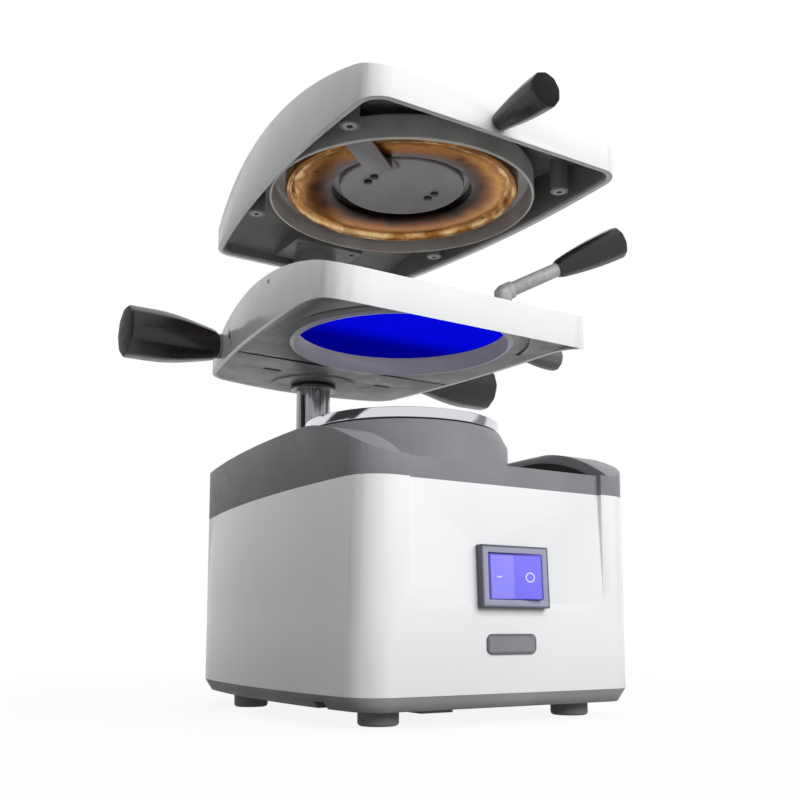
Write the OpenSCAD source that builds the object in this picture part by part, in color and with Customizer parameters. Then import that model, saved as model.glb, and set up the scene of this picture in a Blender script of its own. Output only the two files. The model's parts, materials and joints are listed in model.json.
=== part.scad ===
// Dental vacuum former: a base with a suction platform, a sheet carriage that slides
// on one column, and a heater head that swings about the same column.
// The forming axis (platform, sheet window, heater) is the centre of the plan.

/* [Plan outline shared by base, carriage and head] */
// Half of the width of the base at its widest
half_w = 83; // [80:0.5:90]
// Forming axis to the front face of the base
front_y = 97; // [95:0.5:105]
// Forming axis to the back face
back_y = 125; // [124:0.5:132]
// Radius of the long bulge of each side
side_r = 740; // [650:5:900]
// Forming axis to the widest point, towards the front
side_peak = 35; // [20:1:45]
// Radius of the upright front corners of the base
corner_r = 18; // [12:0.5:22]
// Radius of the upright back corners
back_r = 14; // [8:0.5:18]

/* [Base] */
// Height of the rubber feet
foot_h = 7.5; // [6:0.25:12]
// Diameter of the rubber feet
foot_d = 19; // [16:0.5:24]
// Forming axis to the feet, sideways
foot_x = 57.5; // [50:0.5:62]
// Forming axis to the front feet
foot_front = 70; // [60:0.5:76]
// Forming axis to the back feet
foot_back = 70; // [60:0.5:80]
// Height of the chamfered bottom tray
tray_h = 6.5; // [5:0.25:9]
// Inset of the tray's chamfer at its floor
tray_inset = 4; // [2:0.25:6]
// Height of the white housing
housing_h = 97; // [90:0.5:110]
// Wall of the housing, the cap and the tray
wall = 3; // [2:0.1:4]
// Height of the cap's front band
band_h = 10; // [8:0.5:14]
// Thickness of the deck
deck_t = 3; // [2:0.1:4]
// Height of the shoulders over the deck
shoulder_h = 19; // [14:0.5:22]
// Forming axis to the inner face of the shoulders
shoulder_x = 62; // [61.5:0.25:64]
// Run of the shoulders' fall to the deck, behind the front face
shoulder_fall = 61; // [50:1:65]
// Rounding of the shoulders' edges
shoulder_round = 5; // [2:0.25:7]
// Half of the width of the flat front panel
panel_x = 57.5; // [50:0.5:60]
// Depth of the panel's lean at the deck
panel_lean = 3; // [1:0.1:3]
// Height at which the lean starts
panel_z = 57; // [40:1:75]
// Thickness of the black liner inside the shoulders
liner_t = 1.2; // [0.8:0.1:2]

/* [Platform] */
// Diameter of the boss at the deck
boss_d = 118; // [114:0.5:118.5]
// Diameter of the boss at its top
boss_top_d = 110; // [108:0.5:112]
// Height of the boss over the deck
boss_h = 28.5; // [24:0.5:29]
// Height of the boss's chamfer
boss_chamfer = 7.5; // [4:0.5:10]
// Diameter of the aluminium platform ring
ring_d = 108; // [104:0.5:108]
// Height of the platform ring
ring_h = 5.5; // [4:0.25:5.75]
// Thickness of the gasket under the ring
gasket_t = 1; // [0.6:0.1:1.4]
// Diameter of the perforated plate
plate_d = 97; // [90:0.5:98]
// Thickness of the perforated plate
plate_t = 2.5; // [1.5:0.1:3]
// Diameter of the suction holes
hole_d = 2.6; // [1.5:0.1:3.5]
// Rings of suction holes
hole_rings = 4; // [2:1:4]
// Spacing of the rings of suction holes
hole_step = 9.5; // [8:0.1:10]
// Diameter of the suction duct
duct_d = 22; // [16:0.5:26]

/* [Switch, badge and inlet] */
// Width of the switch bezel
bezel_w = 40; // [36:0.5:44]
// Height of the switch bezel
bezel_h = 29; // [26:0.5:32]
// Depth of the bezel in front of the panel
bezel_t = 4; // [3:0.25:5]
// Sideways place of the switch's centre
switch_x = -1; // [-8:0.5:8]
// Height of the switch's centre
switch_z = 67.5; // [60:0.5:75]
// Width of the rocker
rocker_w = 31; // [26:0.5:31.5]
// Height of the rocker
rocker_h = 21; // [18:0.5:22]
// Turn of the rocker from one side to the other
rocker_turn = 14; // [8:0.5:16]
// Width of the badge plate
badge_w = 29; // [24:0.5:34]
// Height of the badge plate
badge_h = 9.5; // [8:0.25:12]
// Sideways place of the badge plate's centre
badge_x = -1.5; // [-8:0.5:8]
// Height of the badge plate's centre
badge_z = 36.5; // [30:0.5:40]
// Width of the mains inlet
inlet_w = 30; // [27:0.5:34]
// Height of the mains inlet
inlet_h = 24; // [21:0.5:28]
// Height of the inlet's centre
inlet_z = 45; // [38:1:55]

/* [Column] */
// Diameter of the column
column_d = 22; // [20:0.25:24]
// Forming axis to the column
column_y = 108; // [107:0.5:110]
// Length of the column inside the base
column_in = 29; // [22:0.5:40]
// Diameter of the two shaft collars
collar_d = 34; // [30:0.5:36]
// Height of each shaft collar
collar_h = 10; // [8:0.5:12]
// Running clearance of shafts in their bores, on the radius
run_fit = 0.06; // [0.02:0.01:0.1]

/* [Carriage] */
// Height of the carriage's underside
carriage_z = 203.5; // [202:0.5:208]
// Travel of the carriage down the column
carriage_drop = 56; // [40:0.5:56]
// Forming axis to the front face of the carriage
carriage_front = 72; // [71.5:0.25:76]
// Radius of the carriage's front corners
carriage_corner = 20; // [14:0.5:24]
// Forming axis to the corners of the carriage's back
carriage_back = 128; // [126:0.5:132]
// Radius of the carriage's back corners
carriage_back_r = 18; // [12:0.5:22]
// Slope at which the carriage's back bulges round the column
carriage_bulge = 16; // [8:1:20]
// Wall of the carriage
carriage_wall = 2.5; // [2:0.1:3]
// Thickness of the underside plate
under_t = 3; // [2:0.1:4]
// Depth of the front skirt below the underside
skirt_drop = 8.5; // [6:0.25:9]
// Run of the skirt's rise to the underside, behind the front face
skirt_run = 42; // [30:1:70]
// Height of the front wall over the underside
front_h = 9.5; // [9:0.25:12]
// Radius of the arched top
arch_r = 255; // [240:1:300]
// Forming axis to the crest of the arch, towards the back
arch_y = 22; // [10:1:30]
// Diameter of the sheet window
window_d = 120; // [116:0.5:121]
// Diameter of the thermoforming sheet
sheet_d = 125; // [124:0.5:126]
// Thickness of the sheet
sheet_t = 1; // [0.5:0.1:2]
// Height of the sheet over the underside
sheet_lift = 9.5; // [8:0.25:11]
// Wall of the two window rings
window_wall = 3.2; // [2.8:0.1:3.4]
// Front face of the column block, from the forming axis
block_y = 77; // [76:0.5:80]
// Clearance round the lid
lid_gap = 0.6; // [0.5:0.05:1]
// Thickness of the lid
lid_t = 2.4; // [1.5:0.1:3]
// Diameter of the lid's hinge pins
pin_d = 4; // [3:0.25:4.5]
// Forming axis to the lid's hinge
hinge_y = 70; // [69:0.5:71]
// Height of the lid's hinge over the underside
hinge_lift = 11; // [10:0.25:12]
// Opening of the lid
lid_open = 5; // [3:0.5:6]

/* [Handles] */
// Length of the two side grips
side_grip_l = 57; // [50:0.5:64]
// Diameter of the side grips at their outer end
side_grip_d = 31; // [28:0.5:32]
// Diameter of the side grips at the carriage
side_grip_neck = 20; // [17:0.5:22]
// Length of the ferrules between the side grips and the carriage
ferrule_l = 2.5; // [2:0.25:4]
// Forming axis to the side grips
side_grip_y = 93; // [91:0.5:96]
// Height of the side grips over the underside
side_grip_lift = 11.2; // [11:0.1:12]
// Diameter of the lever and head grips at their outer end
grip_d = 17.5; // [14:0.5:19]
// Diameter of the lever and head grips at the rod
grip_neck = 11; // [9:0.5:12]
// Length of the lever's grip
lever_grip_l = 41; // [36:0.5:46]
// Length of the lever's rod
lever_rod_l = 34; // [30:0.5:40]
// Diameter of the lever's rod
lever_rod_d = 7.4; // [6:0.1:8]
// Rise of the lever over the level
lever_rise = 27; // [20:1:35]
// Direction of the lever from straight sideways, towards the front
lever_yaw = 20; // [10:1:30]
// Sideways place of the lever
lever_x = 21; // [20:0.5:30]
// Forming axis to the lever's stud, towards the front
lever_y = 66; // [65.75:0.25:66.5]
// Turn of the lever that opens the lid
lever_turn = 70; // [50:1:90]
// Length of the lock knob
knob_l = 25; // [20:0.5:30]
// Diameter of the lock knob at its outer end
knob_d = 15; // [12:0.5:16]
// Forming axis to the lock knob, towards the front
knob_y = 9; // [6:1:20]
// Height of the lock knob's axis over the underside
knob_lift = 6; // [6:0.1:9]
// Sides of every grip
grip_sides = 10; // [8:1:12]

/* [Head] */
// Height of the head's open underside
head_z = 286; // [285:0.5:292]
// Height of the head at its front
head_front_h = 15; // [14:0.5:17]
// Height of the head at its crest
head_h = 32; // [31:0.5:35]
// Forming axis to the crest of the head, towards the back
head_crest_y = 6; // [0:1:15]
// Radius of the head's front corners
head_corner = 13; // [8:0.5:16]
// Wall of the head
head_wall = 3; // [2:0.1:3.2]
// Sheet thickness of the liner
pan_t = 1.2; // [0.8:0.1:1.5]
// Diameter of the heater bowl
bowl_d = 152; // [148:0.5:152]
// Depth of the heater bowl
bowl_h = 14.5; // [13:0.25:15]
// Sheet thickness of the heater bowl
bowl_t = 1.5; // [1:0.1:2]
// Clearance between the bowl and the head's liner at its widest
bowl_side = 0.6; // [0.4:0.1:3]
// Gap between the bowl's wall and the gold reflector
reflector_gap = 7.5; // [5:0.5:10]
// Diameter of the heater's centre disc
disc_d = 72; // [68:0.5:74]
// Thickness of the centre disc
disc_t = 2; // [1.5:0.1:2.5]
// Width of the bar that holds the centre disc
bar_w = 14; // [10:0.5:16]
// Diameter of the head's hub
hub_d = 28; // [27:0.25:30]
// Length of the head's hub
hub_h = 33; // [30:0.5:35]
// Sideways place of the head's grip
head_grip_x = -5; // [-20:0.5:20]
// Height of the head's grip over the underside
head_grip_lift = 6; // [5.5:0.25:7]
// Length of the head's grip
head_grip_l = 36; // [30:0.5:42]
// Swing of the head to each side
head_swing = 90; // [45:5:100]

/* [Hidden] */
$fn = 64;
wide_fn = 360;
seat = 0.3;
slit = 0.01;
socket_wall = 2.5;
liner_fit = 0.2;

tray_z = foot_h;
housing_z = tray_z + tray_h;
band_z = housing_z + housing_h;
deck_z = band_z + band_h;
shoulder_z = deck_z + shoulder_h;
shoulder_fall_r = (pow(shoulder_fall, 2) + pow(shoulder_h, 2)) / (2 * shoulder_h);
boss_z = deck_z + boss_h;
ring_z = boss_z + gasket_t;
platform_z = ring_z + ring_h;
lip_h = 5;

front_top = carriage_z + front_h;
carriage_top = front_top + arch_r - sqrt(pow(arch_r, 2) - pow(carriage_front + arch_y, 2));
skirt_r = (pow(skirt_run, 2) + pow(skirt_drop, 2)) / (2 * skirt_drop);
sheet_z = carriage_z + sheet_lift;
plate_top = carriage_z + under_t;
hinge_z = carriage_z + hinge_lift;
block_top = arch_top(arch_y, carriage_top, arch_r, column_y - collar_d / 2);
lug_t = 3.5;
window_r = window_d / 2;
ring_out = window_r + window_wall;

head_half_w = bowl_d / 2 + bowl_side + pan_t + liner_fit + head_wall;
reflector_d = bowl_d - 2 * bowl_t - 2 * reflector_gap;
head_arch_rise = head_h - head_front_h;
head_run = front_y + head_crest_y;
head_arch_r = (pow(head_run, 2) + pow(head_arch_rise, 2)) / (2 * head_arch_rise);
head_top = head_z + head_h;
liner_top = head_top - head_wall - liner_fit;
bowl_z = head_z + 2;
bowl_top = bowl_z + bowl_h;
bowl_in = bowl_top - bowl_t;
disc_z = bowl_in - 1.5 - disc_t;
hub_z = head_z + 10 - hub_h;
hub_roof = head_z + 3;
column_z = deck_z - column_in;
column_top = hub_roof - 0.5;
lower_collar_z = block_top + 0.5;
upper_collar_z = hub_z - collar_h;
head_screws = [[head_half_w - 13, -59], [head_half_w - 17, 60]];

function arch_top(y0, z0, r, y) = z0 - r + sqrt(r * r - pow(y - y0, 2));
function arc(c, r, a, b, n) =
  [for (i = [0:n]) let (t = a + (b - a) * i / n) [c[0] + r * cos(t), c[1] + r * sin(t)]];
function inner_arc(c, r, a, b, n) =
  [for (i = [1:n - 1]) let (t = a + (b - a) * i / n) [c[0] + r * cos(t), c[1] + r * sin(t)]];
function corner_x(cx, r, c, y) = cx + sqrt(pow(r - c, 2) - pow(y + side_peak, 2));
function side_x(y, hw) = hw - side_r + sqrt(pow(side_r, 2) - pow(y + side_peak, 2));

// Half outline: front corner, long bulged side, back corner, drawn in by inset.
// A bulge turns the straight back into one arc, tangent to both corners.
function half_plan(front, back, hw, rf, rb, inset, bulge) =
  let (
    r = side_r - inset, cx = hw - side_r,
    r1 = max(rf - inset, 0.8), r2 = max(rb - inset, 0.8),
    y1 = -front + inset + r1, y2 = back - inset - r2,
    c1 = [corner_x(cx, r, r1, y1), y1], c2 = [corner_x(cx, r, r2, y2), y2],
    a1 = asin((y1 + side_peak) / (r - r1)), a2 = asin((y2 + side_peak) / (r - r2)),
    r3 = bulge > 0 ? r2 + c2[0] / sin(bulge) : 0,
    c3 = [0, y2 - (r3 - r2) * cos(bulge)]
  )
  concat(
    arc(c1, r1, -90, a1, 8),
    inner_arc([cx, -side_peak], r, a1, a2, 12),
    arc(c2, r2, a2, 90 - bulge, 6),
    bulge > 0 ? inner_arc(c3, r3, 90 - bulge, 90, 6) : []
  );
function plan(front, back, hw, rf, rb, inset = 0, bulge = 0) =
  let (half = half_plan(front, back, hw, rf, rb, inset, bulge), n = len(half))
  concat(half, [for (i = [0:n - 1]) [-half[n - 1 - i][0], half[n - 1 - i][1]]]);

function base_plan(inset = 0) = plan(front_y, back_y, half_w, corner_r, back_r, inset);
function carriage_plan(inset = 0) =
  plan(
    carriage_front, carriage_back, half_w, carriage_corner, carriage_back_r, inset,
    carriage_bulge
  );
carriage_rear = max([for (p = carriage_plan()) p[1]]);

// The forming axis is set so that the whole part stands centred on its origin
stud_gap = 0.5;
axis_y = (front_y + stud_gap + head_grip_l - carriage_rear) / 2;
function head_plan(inset = 0) =
  plan(front_y, back_y, head_half_w, head_corner, head_corner, inset);

module placed() { translate([0, axis_y, 0]) children(); }
module slab(z0, z1, outline) {
  translate([0, 0, z0]) linear_extrude(z1 - z0) polygon(outline);
}
module disc(z0, z1, r) { translate([0, 0, z0]) cylinder(h = z1 - z0, r = r); }
module tube(z0, z1, r_out, r_in) {
  difference() {
    disc(z0, z1, r_out);
    disc(z0 - 1, z1 + 1, r_in);
  }
}
module at_column() { translate([0, column_y, 0]) children(); }
module across(y, z, x0, x1, r) {
  translate([x0, y, z]) rotate([0, 90, 0]) cylinder(h = x1 - x0, r = r);
}
// Everything under an arch that runs across the part
module under_arch(y0, z0, r) {
  translate([-150, y0, z0 - r]) rotate([0, 90, 0]) cylinder(h = 300, r = r, $fn = wide_fn);
}
module mirrored() {
  children();
  mirror([1, 0, 0]) children();
}
// Tapered many-sided grip along +Z: a short cone at its foot and a shallow domed end
module grip(l, neck, d, bore_r, bore_l) {
  end = d * 0.1;
  foot = neck * 0.16;
  difference() {
    union() {
      cylinder(h = foot, r1 = neck / 2 - foot * 0.6, r2 = neck / 2, $fn = grip_sides);
      translate([0, 0, foot])
        cylinder(h = l - end - foot, r1 = neck / 2, r2 = d / 2, $fn = grip_sides);
      translate([0, 0, l - end])
        cylinder(h = end, r1 = d / 2, r2 = d / 2 - 2.2 * end, $fn = grip_sides);
    }
    translate([0, 0, -1]) cylinder(h = bore_l + 1, r = bore_r);
  }
}

module front_lean() {
  rotate([90, 0, 90])
    translate([0, 0, -panel_x]) linear_extrude(2 * panel_x) polygon([
      [-front_y - 5, panel_z], [-front_y, panel_z],
      [-front_y + panel_lean, deck_z], [-front_y + panel_lean, deck_z + 30],
      [-front_y - 5, deck_z + 30]
    ]);
}

module housing() {
  placed() color("whitesmoke") difference() {
    slab(housing_z, band_z, base_plan());
    slab(housing_z - 1, band_z + 1, base_plan(wall));
    front_lean();
    translate([switch_x - bezel_w / 2 + 2, -front_y - 1, switch_z - bezel_h / 2 + 2])
      cube([bezel_w - 4, wall + 10, bezel_h - 4]);
    translate([-inlet_w / 2, back_y - wall - 1, inlet_z - inlet_h / 2])
      cube([inlet_w, wall + 2, inlet_h]);
  }
}

// Side view of a shoulder: level at the back, falling in an arc to the front
module shoulder_side(lower) {
  fall_y = -front_y + shoulder_fall;
  top = shoulder_z - lower;
  r = shoulder_fall_r - lower;
  intersection() {
    translate([-150, fall_y, band_z]) cube([300, back_y - fall_y, top - band_z]);
    slab(band_z, shoulder_z, base_plan());
  }
  intersection() {
    translate([-150, fall_y, top - r]) rotate([0, 90, 0]) cylinder(h = 300, r = r, $fn = wide_fn);
    translate([-150, -front_y, band_z]) cube([300, shoulder_fall, top - band_z]);
  }
}

module shoulder_block(x0, inset, lower) {
  intersection() {
    slab(band_z, shoulder_z, base_plan(inset));
    shoulder_side(lower);
    translate([x0, -front_y, band_z]) cube([half_w, front_y + back_y, shoulder_h + band_h]);
  }
}

// Cuts the inner top edge of a shoulder to a quarter round
module inner_round() {
  translate([shoulder_x, -front_y - 1, shoulder_z - shoulder_round]) difference() {
    translate([-1, 0, 0]) cube([shoulder_round + 1, front_y + back_y + 2, shoulder_round + 1]);
    translate([shoulder_round, -1, 0]) rotate([-90, 0, 0])
      cylinder(h = front_y + back_y + 4, r = shoulder_round);
  }
}

module boss() {
  chamfer_z = boss_z - boss_chamfer;
  disc(band_z + band_h - deck_t, chamfer_z, boss_d / 2);
  translate([0, 0, chamfer_z])
    cylinder(h = boss_chamfer, r1 = boss_d / 2, r2 = boss_top_d / 2);
}

module cap() {
  placed() color("dimgray") difference() {
    union() {
      slab(band_z, deck_z, base_plan());
      mirrored() difference() {
        shoulder_block(shoulder_x, 0, 0);
        inner_round();
      }
      boss();
      difference() {
        slab(band_z - lip_h, band_z, base_plan(wall + seat));
        slab(band_z - lip_h - 1, band_z + 1, base_plan(2 * wall));
      }
    }
    difference() {
      slab(band_z - 1, deck_z - deck_t, base_plan(2 * wall));
      disc(band_z - 2, deck_z, boss_d / 2);
    }
    mirrored() intersection() {
      shoulder_block(shoulder_x + wall, wall, wall);
      translate([0, -front_y + shoulder_fall / 2, 0]) cube([150, 300, 300]);
    }
    disc(band_z - 1, boss_z - 12, boss_d / 2 - wall);
    disc(boss_z - 8, boss_z + 1, plate_d / 2 - 6);
    disc(band_z, boss_z, duct_d / 2 - 2);
    at_column() disc(band_z - 1, deck_z + 1, column_d / 2 + seat);
    at_column() disc(band_z - lip_h - 1, deck_z - deck_t, column_d / 2 + socket_wall + seat);
    front_lean();
  }
}

module shoulder_liners() {
  placed() color("black") mirrored() difference() {
    intersection() {
      translate([shoulder_x - seat - liner_t, -front_y + 6, deck_z])
        cube([liner_t, front_y + back_y - 16, shoulder_h - shoulder_round]);
      shoulder_side(shoulder_round);
    }
    disc(deck_z - 1, shoulder_z, boss_d / 2 + seat);
  }
}

module tray_form(z0, z1, inset, drop) {
  hull() {
    slab(z0, z0 + slit, base_plan(tray_inset + inset));
    slab(z1 - slit, z1, base_plan(inset - drop));
  }
}

module bottom_tray() {
  placed() color("gray") difference() {
    union() {
      difference() {
        tray_form(tray_z, housing_z, 0, 0);
        tray_form(tray_z + wall, housing_z + 1, wall, 0);
      }
      mirrored() for (y = [-foot_front, foot_back])
        translate([foot_x, y, 0]) disc(tray_z + wall - 1, tray_z + wall + 8, 6);
      translate([0, motor_y, 0]) tube(tray_z + wall - 1, tray_z + wall + 3, 46, 42);
      translate([-foot_x + 11, -foot_front - 19, tray_z - 1.5]) cube([17, 18, 2]);
    }
    mirrored() for (y = [-foot_front, foot_back])
      translate([foot_x, y, 0]) disc(tray_z - 1, tray_z + wall + 6, 2.05);
    for (x = [-18:9:18])
      translate([x - 1.5, motor_y - 20, tray_z - 1]) cube([3, 40, wall + 1.5]);
    mirrored() translate([half_w - 12, -front_y + 36, tray_z - 1]) cube([14, 9, 4.2]);
  }
}

module feet() {
  placed() color("gray") mirrored() for (y = [-foot_front, foot_back])
    translate([foot_x, y, 0]) difference() {
      union() {
        translate([0, 0, 0]) cylinder(h = 1, r1 = foot_d / 2 - 1, r2 = foot_d / 2);
        disc(1, foot_h, foot_d / 2);
      }
      disc(foot_h - 3, foot_h + 1, 2.3);
      disc(-1, foot_h - 3, 4.5);
    }
}

module foot_screws() {
  placed() color("silver") mirrored() for (y = [-foot_front, foot_back])
    translate([foot_x, y, 0]) {
      disc(foot_h - 5.5, foot_h - 3, 3.8);
      disc(foot_h - 3.1, tray_z + wall + 5, 2);
    }
}

module platform_gasket() {
  placed() color("black") tube(boss_z, ring_z, ring_d / 2 - 0.5, plate_d / 2 - 4);
}

module platform_ring() {
  placed() color("silver") difference() {
    disc(ring_z, platform_z, ring_d / 2);
    disc(platform_z - plate_t, platform_z + 1, plate_d / 2 + 0.2);
    disc(ring_z - 1, platform_z, plate_d / 2 - 4);
  }
}

module platform_plate() {
  placed() color("lightgray") difference() {
    disc(platform_z - plate_t, platform_z, plate_d / 2);
    disc(platform_z - plate_t - 1, platform_z + 1, hole_d / 2);
    for (ring = [1:hole_rings], i = [0:6 * ring - 1])
      rotate(i * 60 / ring) translate([ring * hole_step, 0, 0])
        disc(platform_z - plate_t - 1, platform_z + 1, hole_d / 2);
  }
}

// Things on the panel stand on its leaning face
panel_turn = atan(panel_lean / (deck_z - panel_z));
module on_panel(x, z) {
  lean = max(z - panel_z, 0) * panel_lean / (deck_z - panel_z);
  translate([x, -front_y + lean, z]) rotate([z > panel_z ? -panel_turn : 0, 0, 0]) children();
}
// Opening of the rocker in its bezel, all round
rocker_gap = 0.4;
sleeve_l = 6;

module switch_bezel() {
  placed() color("slategray") on_panel(switch_x, switch_z) difference() {
    union() {
      translate([-bezel_w / 2, -bezel_t, -bezel_h / 2]) cube([bezel_w, bezel_t, bezel_h]);
      translate([-bezel_w / 2 + 2 + seat, -1, -bezel_h / 2 + 2 + seat])
        cube([bezel_w - 4 - 2 * seat, sleeve_l + 1, bezel_h - 4 - 2 * seat]);
    }
    translate([-rocker_w / 2 - rocker_gap, -bezel_t - 1, -rocker_h / 2 - rocker_gap])
      cube([rocker_w + 2 * rocker_gap, bezel_t + sleeve_l + 2, rocker_h + 2 * rocker_gap]);
    translate([0, rocker_pivot, -bezel_h / 2 + 2.8])
      cylinder(h = bezel_h - 5.6, r = rocker_pin_r + run_fit);
  }
}

// Seen from above the rocker is a shallow V, and it turns about an upright pin
rocker_pivot = 3;
rocker_pin_r = 1.2;
rocker_t = 4.5;
module switch_rocker() {
  half = rocker_w / 2 - 0.7;
  lean = rocker_turn / 2;
  mid_y = -(rocker_pivot + bezel_t - 0.5) / cos(lean);
  end_y = mid_y - half * tan(lean);
  stem_x = 3;
  placed() color("mediumslateblue") on_panel(switch_x, switch_z)
    translate([0, rocker_pivot, 0]) rotate(-lean) {
      translate([0, 0, -rocker_h / 2]) linear_extrude(rocker_h) polygon([
        [-half, end_y], [0, mid_y], [half, end_y], [half, end_y + rocker_t],
        [stem_x, mid_y + rocker_t], [stem_x, 2], [-stem_x, 2], [-stem_x, mid_y + rocker_t],
        [-half, end_y + rocker_t]
      ]);
      translate([0, 0, -rocker_h / 2 - 1]) cylinder(h = rocker_h + 2, r = rocker_pin_r);
    }
}

module switch_body() {
  placed() color("black") on_panel(switch_x, switch_z) {
    translate([-bezel_w / 2 + 2 + seat, sleeve_l + 0.1, -bezel_h / 2 + 2 + seat])
      cube([bezel_w - 4 - 2 * seat, 15, bezel_h - 4 - 2 * seat]);
    for (x = [-10, 9], z = [-6, 4])
      translate([x, sleeve_l + 15, z]) cube([1, 8, 5]);
  }
}

module badge_plate() {
  placed() color("gray") translate([badge_x, -front_y, badge_z]) rotate([90, 0, 0]) {
    for (s = [-1, 1], t = [-1, 1])
      translate([s * (badge_w / 2 - 3), t * (badge_h / 2 - 3), 0]) cylinder(h = 0.8, r = 3);
    translate([-badge_w / 2 + 3, -badge_h / 2, 0]) cube([badge_w - 6, badge_h, 0.8]);
    translate([-badge_w / 2, -badge_h / 2 + 3, 0]) cube([badge_w, badge_h - 6, 0.8]);
  }
}

module mains_inlet() {
  placed() color("black") difference() {
    union() {
      translate([-inlet_w / 2 - 8, back_y, inlet_z - inlet_h / 2 - 2])
        cube([inlet_w + 16, 2, inlet_h + 4]);
      translate([-inlet_w / 2 + 0.3, back_y - 20, inlet_z - inlet_h / 2 + 0.3])
        cube([inlet_w - 0.6, 20.5, inlet_h - 0.6]);
    }
    translate([-inlet_w / 2 + 3, back_y - 14, inlet_z - inlet_h / 2 + 4])
      cube([inlet_w - 6, 20, inlet_h - 8]);
    mirrored() translate([inlet_w / 2 + 4, back_y - 1, inlet_z]) rotate([-90, 0, 0])
      cylinder(h = 5, r = 1.7);
    pin_blades(0.05);
  }
}

module pin_blades(clear) {
  for (p = [[-7, -1.5], [0, 2.5], [7, -1.5]])
    translate([p[0] - 1 - clear, back_y - 24, inlet_z + p[1] - 2 - clear])
      cube([2 + 2 * clear, 20, 4 + 2 * clear]);
}

module inlet_pins() {
  placed() color("silver") pin_blades(0);
}

motor_z = tray_z + wall + 6;
motor_y = 0;
motor_h = 32;
motor_r = 30;
motor_flange_r = 38;
shaft_r = 4;
shaft_out = 17;
fan_r = 46;
fan_room = 4;
fan_wall = 2;
fan_h = 12;
fan_low = motor_z + motor_h + seat + fan_wall + 1.7;
fan_box_top = fan_low + 2 + fan_h + 8 + fan_wall;
module motor_mounts() {
  placed() color("black") translate([0, motor_y, 0]) for (i = [0:2])
    rotate(90 + 120 * i) translate([motor_r, 0, 0]) disc(tray_z + wall, motor_z, 5);
}

module motor() {
  placed() color("silver") translate([0, motor_y, 0]) {
    disc(motor_z, motor_z + 4, motor_flange_r);
    difference() {
      disc(motor_z + 3.5, motor_z + motor_h, motor_r);
      disc(motor_z + motor_h - 20, motor_z + motor_h + 1, shaft_r + run_fit);
    }
  }
}

module motor_shaft() {
  placed() color("silver") translate([0, motor_y, 0])
    disc(motor_z + motor_h - 20 + seat, motor_z + motor_h + shaft_out, shaft_r);
}

module fan_housing() {
  low = motor_z + motor_h + seat;
  placed() color("gainsboro") translate([0, motor_y, 0]) difference() {
    disc(low, fan_box_top, fan_r + fan_room + fan_wall);
    disc(low + fan_wall, fan_box_top - fan_wall, fan_r + fan_room);
    disc(low - 1, low + fan_wall + 1, 2 * shaft_r);
    disc(fan_box_top - fan_wall - 1, fan_box_top + 1, duct_d / 2 - 2);
    translate([fan_r - 6, -6, fan_low + 4]) cube([14, 12, fan_h]);
  }
}

module fan_wheel() {
  placed() color("silver") translate([0, motor_y, 0]) difference() {
    union() {
      disc(fan_low, fan_low + 2, fan_r);
      disc(fan_low, fan_low + fan_h, shaft_r + 5);
      for (i = [0:11]) rotate(30 * i)
        translate([shaft_r + 4, -0.75, fan_low + 1.9]) cube([fan_r - shaft_r - 5, 1.5, fan_h]);
    }
    disc(fan_low - 6, fan_low + fan_h + 10, shaft_r);
  }
}

module suction_duct() {
  placed() color("darkgray") translate([0, motor_y, 0])
    tube(fan_box_top, boss_z - 12, duct_d / 2, duct_d / 2 - 2);
}

module column_socket() {
  placed() color("silver") at_column() difference() {
    union() {
      disc(column_z - 3, deck_z - deck_t, column_d / 2 + socket_wall);
      intersection() {
        translate([-34, -30, deck_z - deck_t - 5]) cube([68, 40, 5]);
        translate([0, -column_y, 0]) slab(deck_z - 20, deck_z, base_plan(2 * wall + seat));
      }
    }
    disc(column_z, deck_z, column_d / 2 + run_fit);
  }
}

module column() {
  placed() color("silver") at_column() {
    disc(column_z, column_top - 1.5, column_d / 2);
    translate([0, 0, column_top - 1.5]) cylinder(h = 1.5, r1 = column_d / 2, r2 = column_d / 2 - 1.5);
  }
}

module shaft_collars() {
  placed() color("dimgray") at_column() for (z = [lower_collar_z, upper_collar_z])
    difference() {
      tube(z, z + collar_h, collar_d / 2, column_d / 2 + run_fit);
      translate([0, -column_d / 2, z + collar_h / 2]) rotate([90, 0, 0])
        cylinder(h = collar_d, r = 2);
    }
}

// Everything above the carriage's underside, whose front skirt hangs lower
module carriage_low_cut() {
  rise_y = -carriage_front + skirt_run;
  rotate([90, 0, 90]) translate([0, 0, -150]) linear_extrude(300) polygon([
    [-carriage_front - 5, carriage_z - skirt_drop],
    for (i = [0:8]) let (y = -carriage_front + skirt_run * i / 8)
      [y, carriage_z - skirt_r + sqrt(pow(skirt_r, 2) - pow(y - rise_y, 2))],
    [carriage_rear + 5, carriage_z], [carriage_rear + 5, carriage_z - 40],
    [-carriage_front - 5, carriage_z - 40]
  ]);
}

module lever_place() { translate([lever_x, -lever_y, 0]) children(); }

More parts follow.
